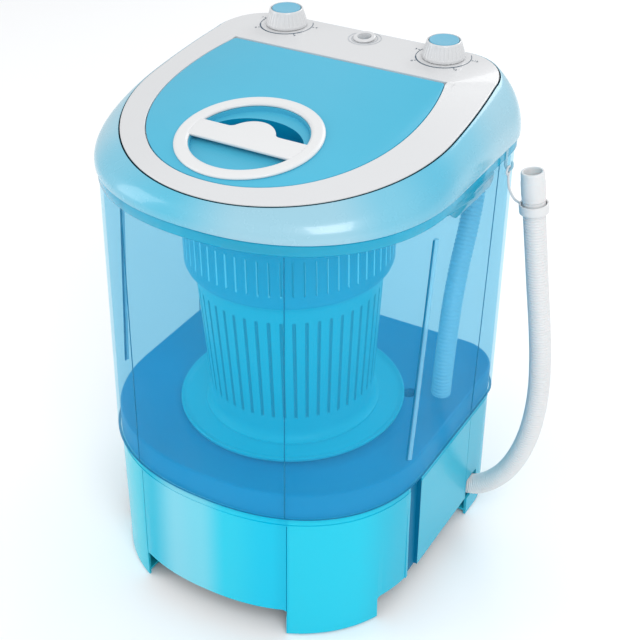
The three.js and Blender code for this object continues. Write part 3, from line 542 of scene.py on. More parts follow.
def base_blue_painted_reflections():
    """Glossy base plastic with painted reflections and painted shade: pale and deep blue bands are painted
    across the width.
    """
    made = plastic("base_blue_reflections_and_shade", (0.01, 0.60, 0.82), 0.24, bump=0.03, coat=0.08, spread=0, gloss=0.2)
    tree = made.node_tree
    place = tree.nodes.new("ShaderNodeTexCoord")
    split = tree.nodes.new("ShaderNodeSeparateXYZ")
    across = tree.nodes.new("ShaderNodeMapRange")
    half = 0.19
    across.inputs["From Min"].default_value = -half
    across.inputs["From Max"].default_value = half
    tree.links.new(place.outputs["Object"], split.inputs["Vector"])
    tree.links.new(split.outputs["X"], across.inputs["Value"])
    # the pale bands are painted reflections of the lights and the deep ones painted shade
    bands = (
        (-0.180, (0.08, 0.54, 0.68)), (-0.110, (0.02, 0.54, 0.68)), (-0.078, (0.0, 0.46, 0.64)),
        (-0.038, (0.19, 0.60, 0.73)), (-0.008, (0.16, 0.60, 0.73)), (0.025, (0.015, 0.55, 0.73)),
        (0.075, (0.0, 0.51, 0.73)), (0.090, (0.0, 0.45, 0.66)), (0.095, (0.01, 0.54, 0.72)),
        (0.150, (0.01, 0.54, 0.72)), (0.180, (0.02, 0.44, 0.62)),
    )
    stops = [((x + half) / (2 * half), colour) for x, colour in bands]
    return colour_bands(made, across.outputs["Result"], stops)


def pearl_blue():
    """Glossy collar plastic with painted highlights and painted shade: its blue is painted paler and deeper
    in bands as it goes round the collar.
    """
    made = plastic("pearl_blue", (0.19, 0.49, 0.64), 0.27, bump=0.03, coat=0.5, spread=0)
    tree = made.node_tree
    place = tree.nodes.new("ShaderNodeTexCoord")
    turn = tree.nodes.new("ShaderNodeTexGradient")
    turn.gradient_type = "RADIAL"
    tree.links.new(place.outputs["Object"], turn.inputs["Vector"])
    # the pale bands are painted highlights and the deep ones painted shade
    pale, mid, deep = (0.28, 0.52, 0.63), (0.15, 0.47, 0.62), (0.08, 0.42, 0.59)
    return colour_bands(made, turn.outputs["Fac"], [
        (0.0, pale), (0.08, pale), (0.14, mid), (0.225, (0.08, 0.45, 0.62)), (0.30, pale), (0.37, pale),
        (0.42, mid), (0.475, deep), (0.52, mid), (0.585, pale), (0.70, mid), (0.75, deep), (0.80, mid),
        (0.90, pale), (1.0, pale),
    ])


WHITE = plastic("white_gloss", (0.62, 0.625, 0.635), 0.26, bump=0.03, coat=0.3, spread=0.012)
GRIP_WHITE = plastic("white_satin", (0.69, 0.695, 0.70), 0.36, bump=0.06, coat=0.1, spread=0.012)
LID_BLUE = plastic("lid_satin_blue", (0.065, 0.42, 0.60), 0.42, bump=0.10, spread=0.06, gloss=0.35)
# the finger scoop's deeper blue is painted shade
SCOOP_PAINTED_SHADE = plastic("scoop_painted_shade_blue", (0.0, 0.27, 0.47), 0.45, bump=0.08, spread=0.05, gloss=0.2)
# the collar's blue, also used on the hose hook, carries painted highlights and painted shade in bands
COLLAR_SHEEN_AND_SHADE = pearl_blue()
GAP_DARK = plastic("gap_shadow_blue", (0.0, 0.05, 0.075), 0.6, spread=0.1, gloss=0.1)
# the base's blue carries painted reflections and painted shade in bands across its width
BASE_REFLECTIONS_AND_SHADE = base_blue_painted_reflections()
# the base grooves' darker blue is painted shade
BASE_GROOVE_PAINTED_SHADE = plastic("base_groove_painted_shade_blue", (0.0, 0.16, 0.31), 0.45, spread=0.05, gloss=0.1)
# the floor, basket and band plastics here, and the tinted hose, carry a painted glow
FLOOR_BLUE = plastic("floor_blue", (0.0, 0.33, 0.59), 0.26, bump=0.04, spread=0.06, gloss=0.25, painted_glow=0.06)
BASKET_BLUE = plastic("basket_blue", (0.0, 0.47, 0.61), 0.36, bump=0.06, spread=0.05, gloss=0.25, painted_glow=0.28)
# the basket grooves' deeper blue is painted shade
BASKET_GROOVE_PAINTED_SHADE = plastic("basket_groove_painted_shade_blue", (0.0, 0.34, 0.47), 0.40, spread=0.05, gloss=0.15, painted_glow=0.22)
BAND_BLUE = plastic("basket_band_blue", (0.0, 0.39, 0.58), 0.34, spread=0.05, gloss=0.25, painted_glow=0.22)
# the band's inward faces carry painted light, a paler blue than its outer faces
BAND_INSIDE_PAINTED_LIGHT = plastic("basket_band_inside_painted_light", (0.25, 0.70, 0.80), 0.40, spread=0.05, gloss=0.25, painted_glow=0.38)
CAP_BLUE = plastic("cap_blue", (0.14, 0.42, 0.58), 0.42, bump=0.10, spread=0.04, gloss=0.35)
HOSE_WHITE = plastic("hose_white", (0.69, 0.695, 0.70), 0.45, grain=700, bump=0.12, spread=0.03, glow=0.1)
HOSE_TINTED = plastic("hose_tinted", (0.30, 0.62, 0.78), 0.40, grain=700, bump=0.10, spread=0.04, painted_glow=0.12)
INK = plastic("dial_ink", (0.035, 0.075, 0.12), 0.50, spread=0.15)
PALE_INK = plastic("dial_ink_pale", (0.42, 0.46, 0.50), 0.50, spread=0.08)
DARK = plastic("dark_plastic", (0.030, 0.031, 0.034), 0.52, grain=900, bump=0.25, spread=0.15)
RUBBER = plastic("black_rubber", (0.018, 0.018, 0.019), 0.80, grain=600, bump=0.35, spread=0.2)
STEEL = metal("turned_steel", (0.62, 0.63, 0.66), 0.28, (1, 1, 12))
CAST = metal("cast_metal", (0.50, 0.51, 0.53), 0.50, (1, 1, 1), scale=260, bump=0.5)
COPPER = wound_copper()
CLEAR = clear_plastic("clear_blue", (0.76, 0.905, 0.955), (0.12, 0.58, 0.80), 0.075, 0.03)
CLEAR_RIM = clear_plastic("clear_rim", (0.15, 0.58, 0.76), (0.0, 0.36, 0.55), 0.80)
# dark clear plastic for the seams and the tub's bottom edge; on the line beside the side rib it is painted
# shade
CLEAR_SEAM_AND_SHADE = clear_plastic("clear_seam_and_painted_shade", (0.15, 0.50, 0.70), (0.0, 0.26, 0.44), 0.60)
# the side rib's pale clear plastic is a painted highlight
CLEAR_RIB_PAINTED_HIGHLIGHT = clear_plastic("clear_rib_painted_highlight", (0.80, 0.95, 1.0), (0.30, 0.70, 0.88), 0.40)

# ---------- base ----------

LEG_HEIGHT = 36
SIDE_ARCH = 31
BEYOND = 260
SEAM_X = 91.0
FRONT_ARCH = 91.0
REAR_ARCH = 112.0
GLAND_X = -120
GLAND_Z = 70


def across_y(made):
    """Turns a prism drawn in x, z and extruded upward so that it runs along y."""
    for v in made.data.vertices:
        x, z, y = v.co
        v.co = (x, y, z)
    face_outward(made)
    return made


def across_x(made):
    """Turns a prism drawn in y, z and extruded upward so that it runs along x."""
    for v in made.data.vertices:
        y, z, x = v.co
        v.co = (x, y, z)
    face_outward(made)
    return made


def arch_shape(low, high, height):
    """A doorway with rounded upper corners, from below the floor up to height."""
    corners = [(low, -5), (high, -5), (high, height), (low, height)]
    return rounded(corners, 5, 5)


def make_base():
    bevel = BASE_TOP - 8
    made = loft("base_moulding", [
        ring(base_line(1.5), 0.8, 1.5),
        ring(base_line(2.4), 0.0, 2.4),
        ring(base_line(bevel - 1.2), 0.0, bevel - 1.2),
        ring(base_line(bevel - 0.7), 0.9, bevel - 0.7),
        ring(base_line(bevel), 0.9, bevel),
        ring(base_line(bevel + 0.5), 0.2, bevel + 0.5),
        *rings_of(
            BASE_LINE, (1.5, BASE_TOP - 1.0), (2.4, BASE_TOP), (15, BASE_TOP), (15, BASE_TOP - WALL),
            (WALL + 1.5, BASE_TOP - WALL),
        ),
        ring(base_line(1.5), WALL, 1.5),
    ])
    leg_floor = loft("leg_floor", rings_of(FOOT_LINE, (1.7, 6), (1.7, 9), (32.6, 9), (32.6, 6)))
    leg_back = loft("leg_back", rings_of(FOOT_LINE, (31, 1.5), (31, 37.7), (34, 37.7), (34, 1.5)))
    channels = [
        side_block("channel", s, (169, 177.5), (-62, -32), (SIDE_ARCH - 6, BASE_TOP - 1)) for s in (-1, 1)
    ]
    combine(made, [leg_floor, leg_back, *channels], "UNION")
    cuts = [
        across_y(prism("arch", arch_shape(-FRONT_ARCH, FRONT_ARCH, LEG_HEIGHT), -BEYOND, -100)),
        across_y(prism("arch", arch_shape(-REAR_ARCH, REAR_ARCH, LEG_HEIGHT), 100, BEYOND)),
    ]
    for s in (-1, 1):
        reach = sorted((s * 110, s * BEYOND))
        cuts.append(across_x(prism("arch", arch_shape(-103, 96, SIDE_ARCH), *reach)))
        cuts.append(side_block("groove", s, (174.5, BEYOND), (-58, -36), (-1, BASE_TOP - 4)))
        seam = sorted((s * (SEAM_X - 0.4), s * (SEAM_X + 0.4)))
        seam_line = [(front_y(base_line(z), SEAM_X) + 1.5, z) for z in (LEG_HEIGHT - 8, bevel - 2)]
        seam_line += [(y - 30, z) for y, z in seam_line[::-1]]
        cuts.append(across_x(prism("seam", seam_line, *seam)))
        cuts.append(side_block("seam", s, (178.4, BEYOND), (87.6, 88.4), (SIDE_ARCH - 8, bevel - 1)))
    window = [(90.5, 26), (118, 26), (118, 57.5), (90.5, 57.5)]
    cuts.append(across_x(prism("window", rounded(window, 4, 4), 130, BEYOND)))
    cuts.append(across_y(cylinder("gland_hole", 8.3, 150, 190, 32, (GLAND_X, GLAND_Z))))
    combine(made, cuts, "DIFFERENCE")
    soften(made, 0.5, 2, 40)
    finish(made, [BASE_REFLECTIONS_AND_SHADE, BASE_GROOVE_PAINTED_SHADE], "housing", ["base_shell"])
    for face in made.data.polygons:  # the insides of the two upright grooves get painted shade, a deeper blue
        x, y, z = face.center / MM
        back = 173 < abs(x) < 175 and abs(face.normal.x) > 0.9
        flank = 174.4 < abs(x) < 179.5 and abs(face.normal.y) > 0.9
        if -58.6 < y < -35.4 and (back or flank):
            face.material_index = 1


make_base()

# ---------- tub ----------

RIB_LOW = 207
RIB_HIGH = 452


def wall_strip(name, places, radius, material):
    """A thin raised line on the tub wall, through places."""
    made = tube(name, along(places, 60), np.full(60, radius), 12)
    finish(made, material, "housing", smooth=60)


def make_tub():
    made = loft("tub_wall", [
        ring(TUB_LOW, 0.8, TUB_BOTTOM),
        ring(tub_line(TUB_BOTTOM + 1), 0.0, TUB_BOTTOM + 1),
        ring(tub_line(RIM_BOTTOM - 0.6), 0.0, RIM_BOTTOM - 0.6),
        ring(mix_lines(tub_line(RIM_BOTTOM), RIM_LINE, 0.6), 0.0, RIM_BOTTOM),
        ring(RIM_LINE, 0.0, RIM_BOTTOM + 1.0),
        ring(RIM_LINE, 0.0, TUB_TOP - 0.8),
        ring(RIM_LINE, 0.8, TUB_TOP),
        ring(TUB_HIGH, WALL - 0.6, TUB_TOP),
        ring(TUB_HIGH, WALL, TUB_TOP - 0.8),
        ring(TUB_LOW, WALL, TUB_BOTTOM),
    ])
    low, high = TUB_BOTTOM + 2, RIM_BOTTOM - 2
    finish(made, [CLEAR, CLEAR_RIM, CLEAR_SEAM_AND_SHADE], "housing", ["tub_shell"])
    for face in made.data.polygons:
        z = face.center.z / MM
        if z > RIM_BOTTOM - 0.5 and z < TUB_TOP - 0.1:
            face.material_index = 1
        elif z < TUB_BOTTOM + 0.9:
            face.material_index = 2
    for side, s in (("left", -1), ("right", 1)):
        wall_strip(f"front_seam_{side}", [
            (s * SEAM_X, front_y(tub_line(z), SEAM_X) + 0.15, z) for z in np.linspace(low, high, 8)
        ], 0.55, CLEAR_SEAM_AND_SHADE)
        strips = (
            # the side rib is a raised strip whose paler clear plastic is a painted highlight
            ("side_rib", (RIB_LOW, RIB_HIGH), (-69, -38), 0.6, 2.6, CLEAR_RIB_PAINTED_HIGHLIGHT),
            # the thin dark line just ahead of the rib is painted shade
            ("side_rib_painted_shade_line", (RIB_LOW, RIB_HIGH), (-72.4, -41.4), 0.1, 1.0, CLEAR_SEAM_AND_SHADE),
            ("rear_seam", (low, high), (79, 102), 0.05, 0.5, CLEAR_SEAM_AND_SHADE),
        )
        for name, heights, depths, proud, radius, material in strips:
            wall_strip(f"{name}_{side}", [
                (s * (side_x(tub_line(z), y) + proud), y, z)
                for z, y in zip(np.linspace(*heights, 8), np.linspace(*depths, 8))
            ], radius, material)


make_tub()


def make_rim_flange():
    """The deeper part of the rim on the hose side."""
    side = rounded([
        (-24, RIM_BOTTOM + 1), (-16, RIM_BOTTOM - 0.5), (-4, 458), (76, 455.5), (83, 460),
        (86, RIM_BOTTOM + 1),
    ], 5, 4)
    made = across_x(prism("rim_flange", side, TUB_HIGH["half"] - 0.4, RIM_LINE["half"] - 0.2))
    soften(made, 0.5, 2)
    finish(made, CLEAR_RIM, "housing")


make_rim_flange()


def make_tub_floor():
    def edge(z, inset):
        return ring(tub_line(z), inset, z)

    like = edge(178, 0)
    made = loft("tub_floor_tray", [
        edge(TUB_BOTTOM, WALL + 0.6), edge(190, WALL + 0.6), edge(191.4, WALL + 1.2), edge(192, WALL + 3),
        edge(191.2, WALL + 6), edge(184.6, 27), edge(183.6, 32), circle_like(like, 136, 178.6),
        circle_like(like, 131, 178), circle_like(like, 14, 178), circle_like(like, 14, 174.5),
        circle_like(like, 130, 174.5), edge(180, 31), edge(187, WALL + 4), edge(TUB_BOTTOM, WALL + 3.6),
    ])
    combine(made, [cylinder("drain", 8.5, 150, 220, 48, (112, 66))], "DIFFERENCE")
    finish(made, FLOOR_BLUE, "housing", ["tub_floor"])


make_tub_floor()

# ---------- collar and top panel ----------


def make_collar():
    skirt = ring(SKIRT_LINE, 0, COLLAR_BOTTOM + 5)
    lip = on_deck(ring(PANEL_LINE, -1.4, 0))
    swell, steps = 0.85, 16
    shoulder = []
    for i in range(1, steps + 1):
        turn = swell * i / steps
        inward = (1 - math.cos(turn)) / (1 - math.cos(swell))
        upward = math.sin(turn) / math.sin(swell)
        level = skirt + (lip - skirt) * np.array([inward, inward, upward])
        shoulder.append(level)
    made = loft("collar_moulding", [
        ring(SKIRT_LINE, 1.2, COLLAR_BOTTOM),
        ring(SKIRT_LINE, 0.3, COLLAR_BOTTOM + 0.5),
        ring(SKIRT_LINE, 0.0, COLLAR_BOTTOM + 1.5),
        skirt,
        *shoulder,
        on_deck(ring(PANEL_LINE, -0.9, 0.1)),
        on_deck(ring(PANEL_LINE, -0.6, -0.5)),
        on_deck(ring(PANEL_LINE, -0.5, -4)),
        on_deck(ring(PANEL_LINE, 9, -4)),
        on_deck(ring(PANEL_LINE, 9, -7)),
        on_deck(ring(PANEL_LINE, 3, -7)),
        ring(SKIRT_LINE, WALL + 0.4, COLLAR_BOTTOM + 6),
        ring(SKIRT_LINE, WALL + 0.4, COLLAR_BOTTOM + WALL),
        ring(SKIRT_LINE, 12, COLLAR_BOTTOM + WALL),
        ring(SKIRT_LINE, 12, COLLAR_BOTTOM),
    ])
    finish(made, [COLLAR_SHEEN_AND_SHADE, GAP_DARK], "housing", ["collar"], smooth=40)
    around = len(skirt)
    gap_starts = 4 + steps + 1
    for face in made.data.polygons:  # the wall and floor of the gap round the panel are in shadow
        if gap_starts * around <= face.index < (gap_starts + 2) * around:
            face.material_index = 1


make_collar()

INLET_V = 152.0
HINGE_V = LID_LINE["back"] - 3.5
HINGE_W = LID_TOP_W - 3.5
KNOBS = {side: (span(f"{side}_knob")[0] + span(f"{side}_knob")[1]) / 2 for side in ("spin", "wash")}


def panel_height(v):
    """Height w of the panel's top behind the lid."""
    start, end = LID_LINE["back"] + 1, PANEL_LINE["back"] - 1.2
    share = (v - start) / (end - start)
    return LID_TOP_W + (PANEL_EDGE_W + 1 - LID_TOP_W) * share


def make_panel():
    edge = ring(PANEL_LINE, 1.6, PANEL_EDGE_W + 1.1)
    brink = ring(LID_LINE, -1.4, LID_TOP_W - 0.03)
    top = [edge + (brink - edge) * share for share in np.linspace(0, 1, 9)]
    made = loft("top_panel_moulding", [
        ring(PANEL_LINE, 0.7, -3.6),
        ring(PANEL_LINE, 0.7, PANEL_EDGE_W - 0.3),
        ring(PANEL_LINE, 0.9, PANEL_EDGE_W + 0.5),
        *top,
        ring(LID_LINE, -1.1, LID_TOP_W - 0.25),
        ring(LID_LINE, -1.0, LID_TOP_W - 0.6),
        ring(LID_LINE, -1.0, LEDGE_W),
        ring(LID_LINE, 7, LEDGE_W),
        ring(LID_LINE, 7, LEDGE_W - WALL),
        ring(LID_LINE, -4, LEDGE_W - WALL),
        ring(PANEL_LINE, 5, -1.6),
        ring(PANEL_LINE, 5, -3.6),
    ])
    bosses = [
        side_block("boss", s, (126.6, 133), (HINGE_V - 5, HINGE_V + 5), (1, 8.4)) for s in (-1, 1)
    ]
    combine(made, bosses, "UNION")
    combine(made, [
        block("bay", (-122.8, HINGE_V - 6.5, 0), (122.8, LID_LINE["back"] + 1, 20)),
        block("lid_corners", (-125.4, HINGE_V - 1, LEDGE_W), (125.4, LID_LINE["back"] + 1, 20)),
        cylinder("inlet_hole", 10.3, -40, 40, 48, (0, INLET_V)),
    ], "DIFFERENCE")
    made.data.transform(DECK)
    finish(made, [WHITE, GAP_DARK], "housing", ["top_panel"], smooth=28)
    for face in made.data.polygons:  # the panel's edge below the gap's brink is in shadow
        w = (OFF_DECK @ (face.center / MM)).z
        if w < PANEL_EDGE_W - 0.4 and abs(face.normal.z) < 0.5:
            face.material_index = 1
    return made


panel = make_panel()
panel_tree = BVHTree.FromPolygons(
    [v.co.copy() for v in panel.data.vertices], [tuple(p.vertices) for p in panel.data.polygons])


def lay_on_panel(made, lift=0.12):
    """Drops a thin flat piece, in millimetres, onto the panel's top, and keeps it that thick."""
    lowest = min(v.co.z for v in made.data.vertices)
    for v in made.data.vertices:
        start = Vector((v.co.x * MM, v.co.y * MM, 0.7))
        hit = panel_tree.ray_cast(start, Vector((0, 0, -1)))[0]
        if hit is not None:
            v.co.z = hit.z / MM + lift + (v.co.z - lowest)


def arc_band(name, centre, inner, outer, start, end, steps=64, thick=0.12):
    """A flat printed arc round centre, from start to end in degrees."""
    turns = np.radians(np.linspace(start, end, steps + 1))
    verts, faces = [], []
    for z in (0.0, thick):
        for radius in (inner, outer):
            verts += [(centre[0] + radius * math.cos(t), centre[1] + radius * math.sin(t), z) for t in turns]
    n = steps + 1
    low_in, low_out, high_in, high_out = 0, n, 2 * n, 3 * n
    for i in range(steps):
        faces.append((high_in + i, high_out + i, high_out + i + 1, high_in + i + 1))
        faces.append((low_in + i, low_in + i + 1, low_out + i + 1, low_out + i))
        faces.append((low_in + i, high_in + i, high_in + i + 1, low_in + i + 1))
        faces.append((low_out + i, low_out + i + 1, high_out + i + 1, high_out + i))
    for i in (0, steps):
        faces.append((low_in + i, low_out + i, high_out + i, high_in + i))
    made = mesh_object(name, verts, faces)
    made.data.update()
    return made


def join(name, pieces):
    verts, faces, base = [], [], 0
    for piece in pieces:
        verts += [tuple(v.co) for v in piece.data.vertices]
        faces += [tuple(base + i for i in p.vertices) for p in piece.data.polygons]
        base += len(piece.data.vertices)
        bpy.data.objects.remove(piece)
    return mesh_object(name, verts, faces)


def dial_number(text, place, size):
    """A dial number as a thin flat mesh, centred on place."""
    curve = bpy.data.curves.new("number", "FONT")
    curve.body = text
    curve.size = size
    curve.align_x = "CENTER"
    curve.align_y = "CENTER"
    curve.extrude = 0.06
    curve.resolution_u = 4
    letter = into_scene("number", curve)
    bpy.context.view_layer.update()
    mesh = evaluated_mesh(letter)
    bpy.data.objects.remove(letter)
    made = into_scene("number", mesh)
    mesh.transform(Matrix.Translation((place[0], place[1], 0.06)))
    return made


def make_dial(side, numbers):
    """The printed ring, ticks and numbers round a knob."""
    centre = KNOBS[side]
    radius = 29.0
    rings = [
        arc_band("arc", centre, radius - 0.9, radius + 0.5, 205, 335, 56),
        arc_band("arc", centre, radius - 0.5, radius + 0.2, -25, 34, 30),
        arc_band("arc", centre, radius - 0.5, radius + 0.2, 146, 205, 30),
    ]
    edge = span("top_panel")[1].y - 6
    for i in range(len(numbers)):
        turn = 225 - i * 270 / (len(numbers) - 1)
        if centre[1] + (radius + 3) * math.sin(math.radians(turn)) < edge:
            rings.append(arc_band("tick", centre, radius + 1.2, radius + 2.8, turn - 0.9, turn + 0.9, 2))
    made = join(f"{side}_dial_ring", rings)
    lay_on_panel(made)
    finish(made, INK, "housing")
    letters = []
    for i, text in enumerate(numbers):
        turn = math.radians(225 - i * 270 / (len(numbers) - 1))
        reach = radius + 5.6
        place = (centre[0] + reach * math.cos(turn), centre[1] + reach * math.sin(turn))
        if place[1] < edge:
            letters.append(dial_number(text, place, 4.2))
    made = join(f"{side}_dial_numbers", letters)
    lay_on_panel(made)
    finish(made, INK, "housing")


make_dial("wash", ["0", "3", "6", "9", "12", "15"])
make_dial("spin", ["0", "1", "2", "3", "4", "5"])


def make_inlet():
    place = np.array([0, INLET_V])
    top = panel_height(INLET_V - 12) + GAP
    made = lathe("inlet_ring", rounded([
        (7.5, -14), (10, -14), (10, top), (12, top), (12, top + 1.2), (11, top + 1.8), (7.5, top + 1.8),
    ], 0.4, 2), 64, place)
    made.data.transform(DECK)
    finish(made, WHITE, "housing", ["inlet_spigot"], smooth=40)
    centre = DECK @ Vector((0, INLET_V, 0))
    marks = [
        arc_band("mark", centre, radius - 0.3, radius + 0.3, start, start + 179.6, 36)
        for radius in (14.0, 17.5) for start in (0, 180)
    ]
    made = join("inlet_marks", marks)
    lay_on_panel(made)
    finish(made, PALE_INK, "housing")


make_inlet()

# ---------- lid ----------

HANDLE_V = -76.5
HANDLE_OUTER = 72.6
HANDLE_INNER = 58.6
BAR_V = HANDLE_V - 6
BAR_HALF = 14
BUMP_RADIUS = 27
BUMP_RISE = 32
SCOOP_V = HANDLE_V
SCOOP_REACH = 54.0
SCOOP_RISE = 42.0
SCOOP_DEEP = -12
DISH_W = 5


def scoop_shape(grow):
    """Half an ellipse, with its straight side to the front, grown by grow all round."""
    reach, rise, front = SCOOP_REACH + grow, SCOOP_RISE + 2 * grow, SCOOP_V - grow
    return [(reach * math.cos(t), front + rise * math.sin(t)) for t in np.linspace(0, math.pi, 49)]


def make_lid():
    made = loft("lid_shell", rings_of(
        LID_LINE, (0.9, LID_TOP_W), (0.25, LID_TOP_W - 0.25), (0.0, LID_TOP_W - 0.8), (0.0, LEDGE_W + 0.5),
        (3.0, LEDGE_W + 0.5), (3.0, LID_TOP_W - 3),
    ), closed=False)
    skirt = loft("skirt", rings_of(LID_LINE, (8.5, -1), (8.5, 8), (11, 8), (11, -1)))
    pan = cylinder("pan", HANDLE_INNER + 1.5, DISH_W - 2.5, LID_TOP_W - 1, 96, (0, HANDLE_V))
    cup = prism("cup", scoop_shape(2.5), SCOOP_DEEP - 2.5, DISH_W - 1)
    combine(made, [skirt, pan, cup], "UNION")
    combine(made, [
        cylinder("dish", HANDLE_INNER - 1, DISH_W, 30, 96, (0, HANDLE_V)),
        prism("scoop", scoop_shape(0), SCOOP_DEEP, 30),
        block("behind_hinge", (-BEYOND, HINGE_V, -20), (BEYOND, BEYOND, 30)),
    ], "DIFFERENCE")
    barrel = cylinder("barrel", 3.5, -122, 122, 32)
    barrel.data.transform(Matrix.Translation((0, HINGE_V, HINGE_W)) @ Matrix.Rotation(math.pi / 2, 4, "Y"))
    combine(made, [barrel], "UNION")
    made.data.transform(DECK)
    finish(made, [LID_BLUE, SCOOP_PAINTED_SHADE], "lid", ["lid_panel"], smooth=35)
    for face in made.data.polygons:  # the finger scoop gets painted shade, a deeper blue
        u, v, w = OFF_DECK @ (face.center / MM)
        inside = (u / (SCOOP_REACH + 0.5)) ** 2 + ((v - SCOOP_V) / (SCOOP_RISE + 0.5)) ** 2 < 1.02
        if SCOOP_DEEP - 1 < w < DISH_W - 0.3 and v > SCOOP_V - 1 and inside:
            face.material_index = 1


make_lid()


def make_grip():
    low, top = LID_TOP_W + GAP, LID_TOP_W + GAP + 4
    band = rounded([
        (HANDLE_INNER, low), (HANDLE_OUTER, low), (HANDLE_OUTER, low + 2.2), (HANDLE_OUTER - 2.6, top),
        (HANDLE_INNER + 2.6, top), (HANDLE_INNER, low + 2.2),
    ], 1.4, 4)
    made = lathe("grip_ring", band, 144, (0, HANDLE_V))
    made.data.transform(DECK)
    finish(made, GRIP_WHITE, "lid", smooth=50)

    reach = HANDLE_INNER + 4

    def end_x(v):
        return math.sqrt(reach ** 2 - (v - HANDLE_V) ** 2)

    front, rear = BAR_V - BAR_HALF, BAR_V + BAR_HALF
    right_end = [(end_x(v), v) for v in np.linspace(front, rear, 12)]
    left_end = [(-x, v) for x, v in right_end[::-1]]
    start = math.asin(BAR_HALF / BUMP_RISE)
    meets_bar = BUMP_RADIUS * math.cos(start)
    bump = [
        (BUMP_RADIUS * math.cos(t), BAR_V + BUMP_RISE * math.sin(t))
        for t in np.linspace(start + 0.16, math.pi - start - 0.16, 40)
    ]
    fillet = []
    for share in np.linspace(0, 1, 8)[:-1]:
        bar_part, corner_part, bump_part = (1 - share) ** 2, 2 * share * (1 - share), share ** 2
        fillet.append((
            bar_part * (meets_bar + 5) + corner_part * meets_bar + bump_part * bump[0][0],
            (bar_part + corner_part) * rear + bump_part * bump[0][1],
        ))
    shape = right_end + fillet + bump + [(-x, v) for x, v in fillet[::-1]] + left_end
    made = prism("grip_bar", shape, low, low + 3.2)
    soften(made, 1.1, 4, 50)
    made.data.transform(DECK)
    finish(made, GRIP_WHITE, "lid", ["lid_handle"], smooth=50)


make_grip()

# ---------- knobs ----------


def make_knob(side):
    centre = KNOBS[side]
    seat, crown = span(f"{side}_knob")[0].z, span(f"{side}_knob")[1].z
    flutes, facets = 28, 10

    def fluted(radii, turns, z):
        share = np.clip((z - seat - 2.2) / 1.5, 0, 1) * np.clip((crown - 2.2 - z) / 1.5, 0, 1)
        wave = np.abs(np.sin(turns * flutes / 2)) ** 0.6
        return radii - 0.55 * (1 - wave) * share

    height = crown - seat
    sides = [(22.4 - 3.9 * s, seat + 3.2 + (height - 5.4) * s) for s in np.linspace(0, 1, 14)]
    profile = [
        (20, seat), (22.1, seat), (22.5, seat + 0.4), (22.5, seat + 2.6), *sides,
        (18.2, crown - 1.2), (17.9, crown - 0.5), (17.3, crown - 0.1), (16.9, crown), (16.5, crown - 0.3),
        (16.4, crown - 3), (3.3, crown - 3), (3.3, seat + 4), (20, seat + 4),
    ]
    made = lathe(f"{side}_knob_moulding", profile, flutes * facets, centre, fluted)
    finish(made, WHITE, f"{side}_knob_turn", [f"{side}_knob"], smooth=50)

    low, high = span(f"{side}_knob_cap")[0].z, span(f"{side}_knob_cap")[1].z
    cap = [(0, low), (15.4, low), (15.4, high - 0.9), (15.0, high - 0.4), (14.4, high - 0.25)]
    cap += [(r, high - 0.9 + 0.55 * (r / 14) ** 2) for r in (14.0, 11, 8, 5, 2.5, 0)]
    made = lathe(f"{side}_cap_disc", cap, 96, centre)
    finish(made, CAP_BLUE, f"{side}_knob_turn", [f"{side}_knob_cap"], smooth=40)

    made = block(f"{side}_pointer", (centre[0] - 0.6, centre[1] - 17.6, seat + 7), (
        centre[0] + 0.6, centre[1] - 16.8, crown - 1.2))
    for v in made.data.vertices:  # the pointer leans with the knob's side
        v.co.y -= 2.6 * (1 - (v.co.z - seat) / height) + 0.9
    finish(made, WHITE, f"{side}_knob_turn")


make_knob("spin")
make_knob("wash")

# ---------- basket and wash plate ----------

RIBS = 48
BAND_SLOTS = 60
BASKET_FOOT = span("spin_basket")[0].z
BASKET_TOP = span("spin_basket")[1].z
BAND_BOTTOM = BASKET_TOP - 65


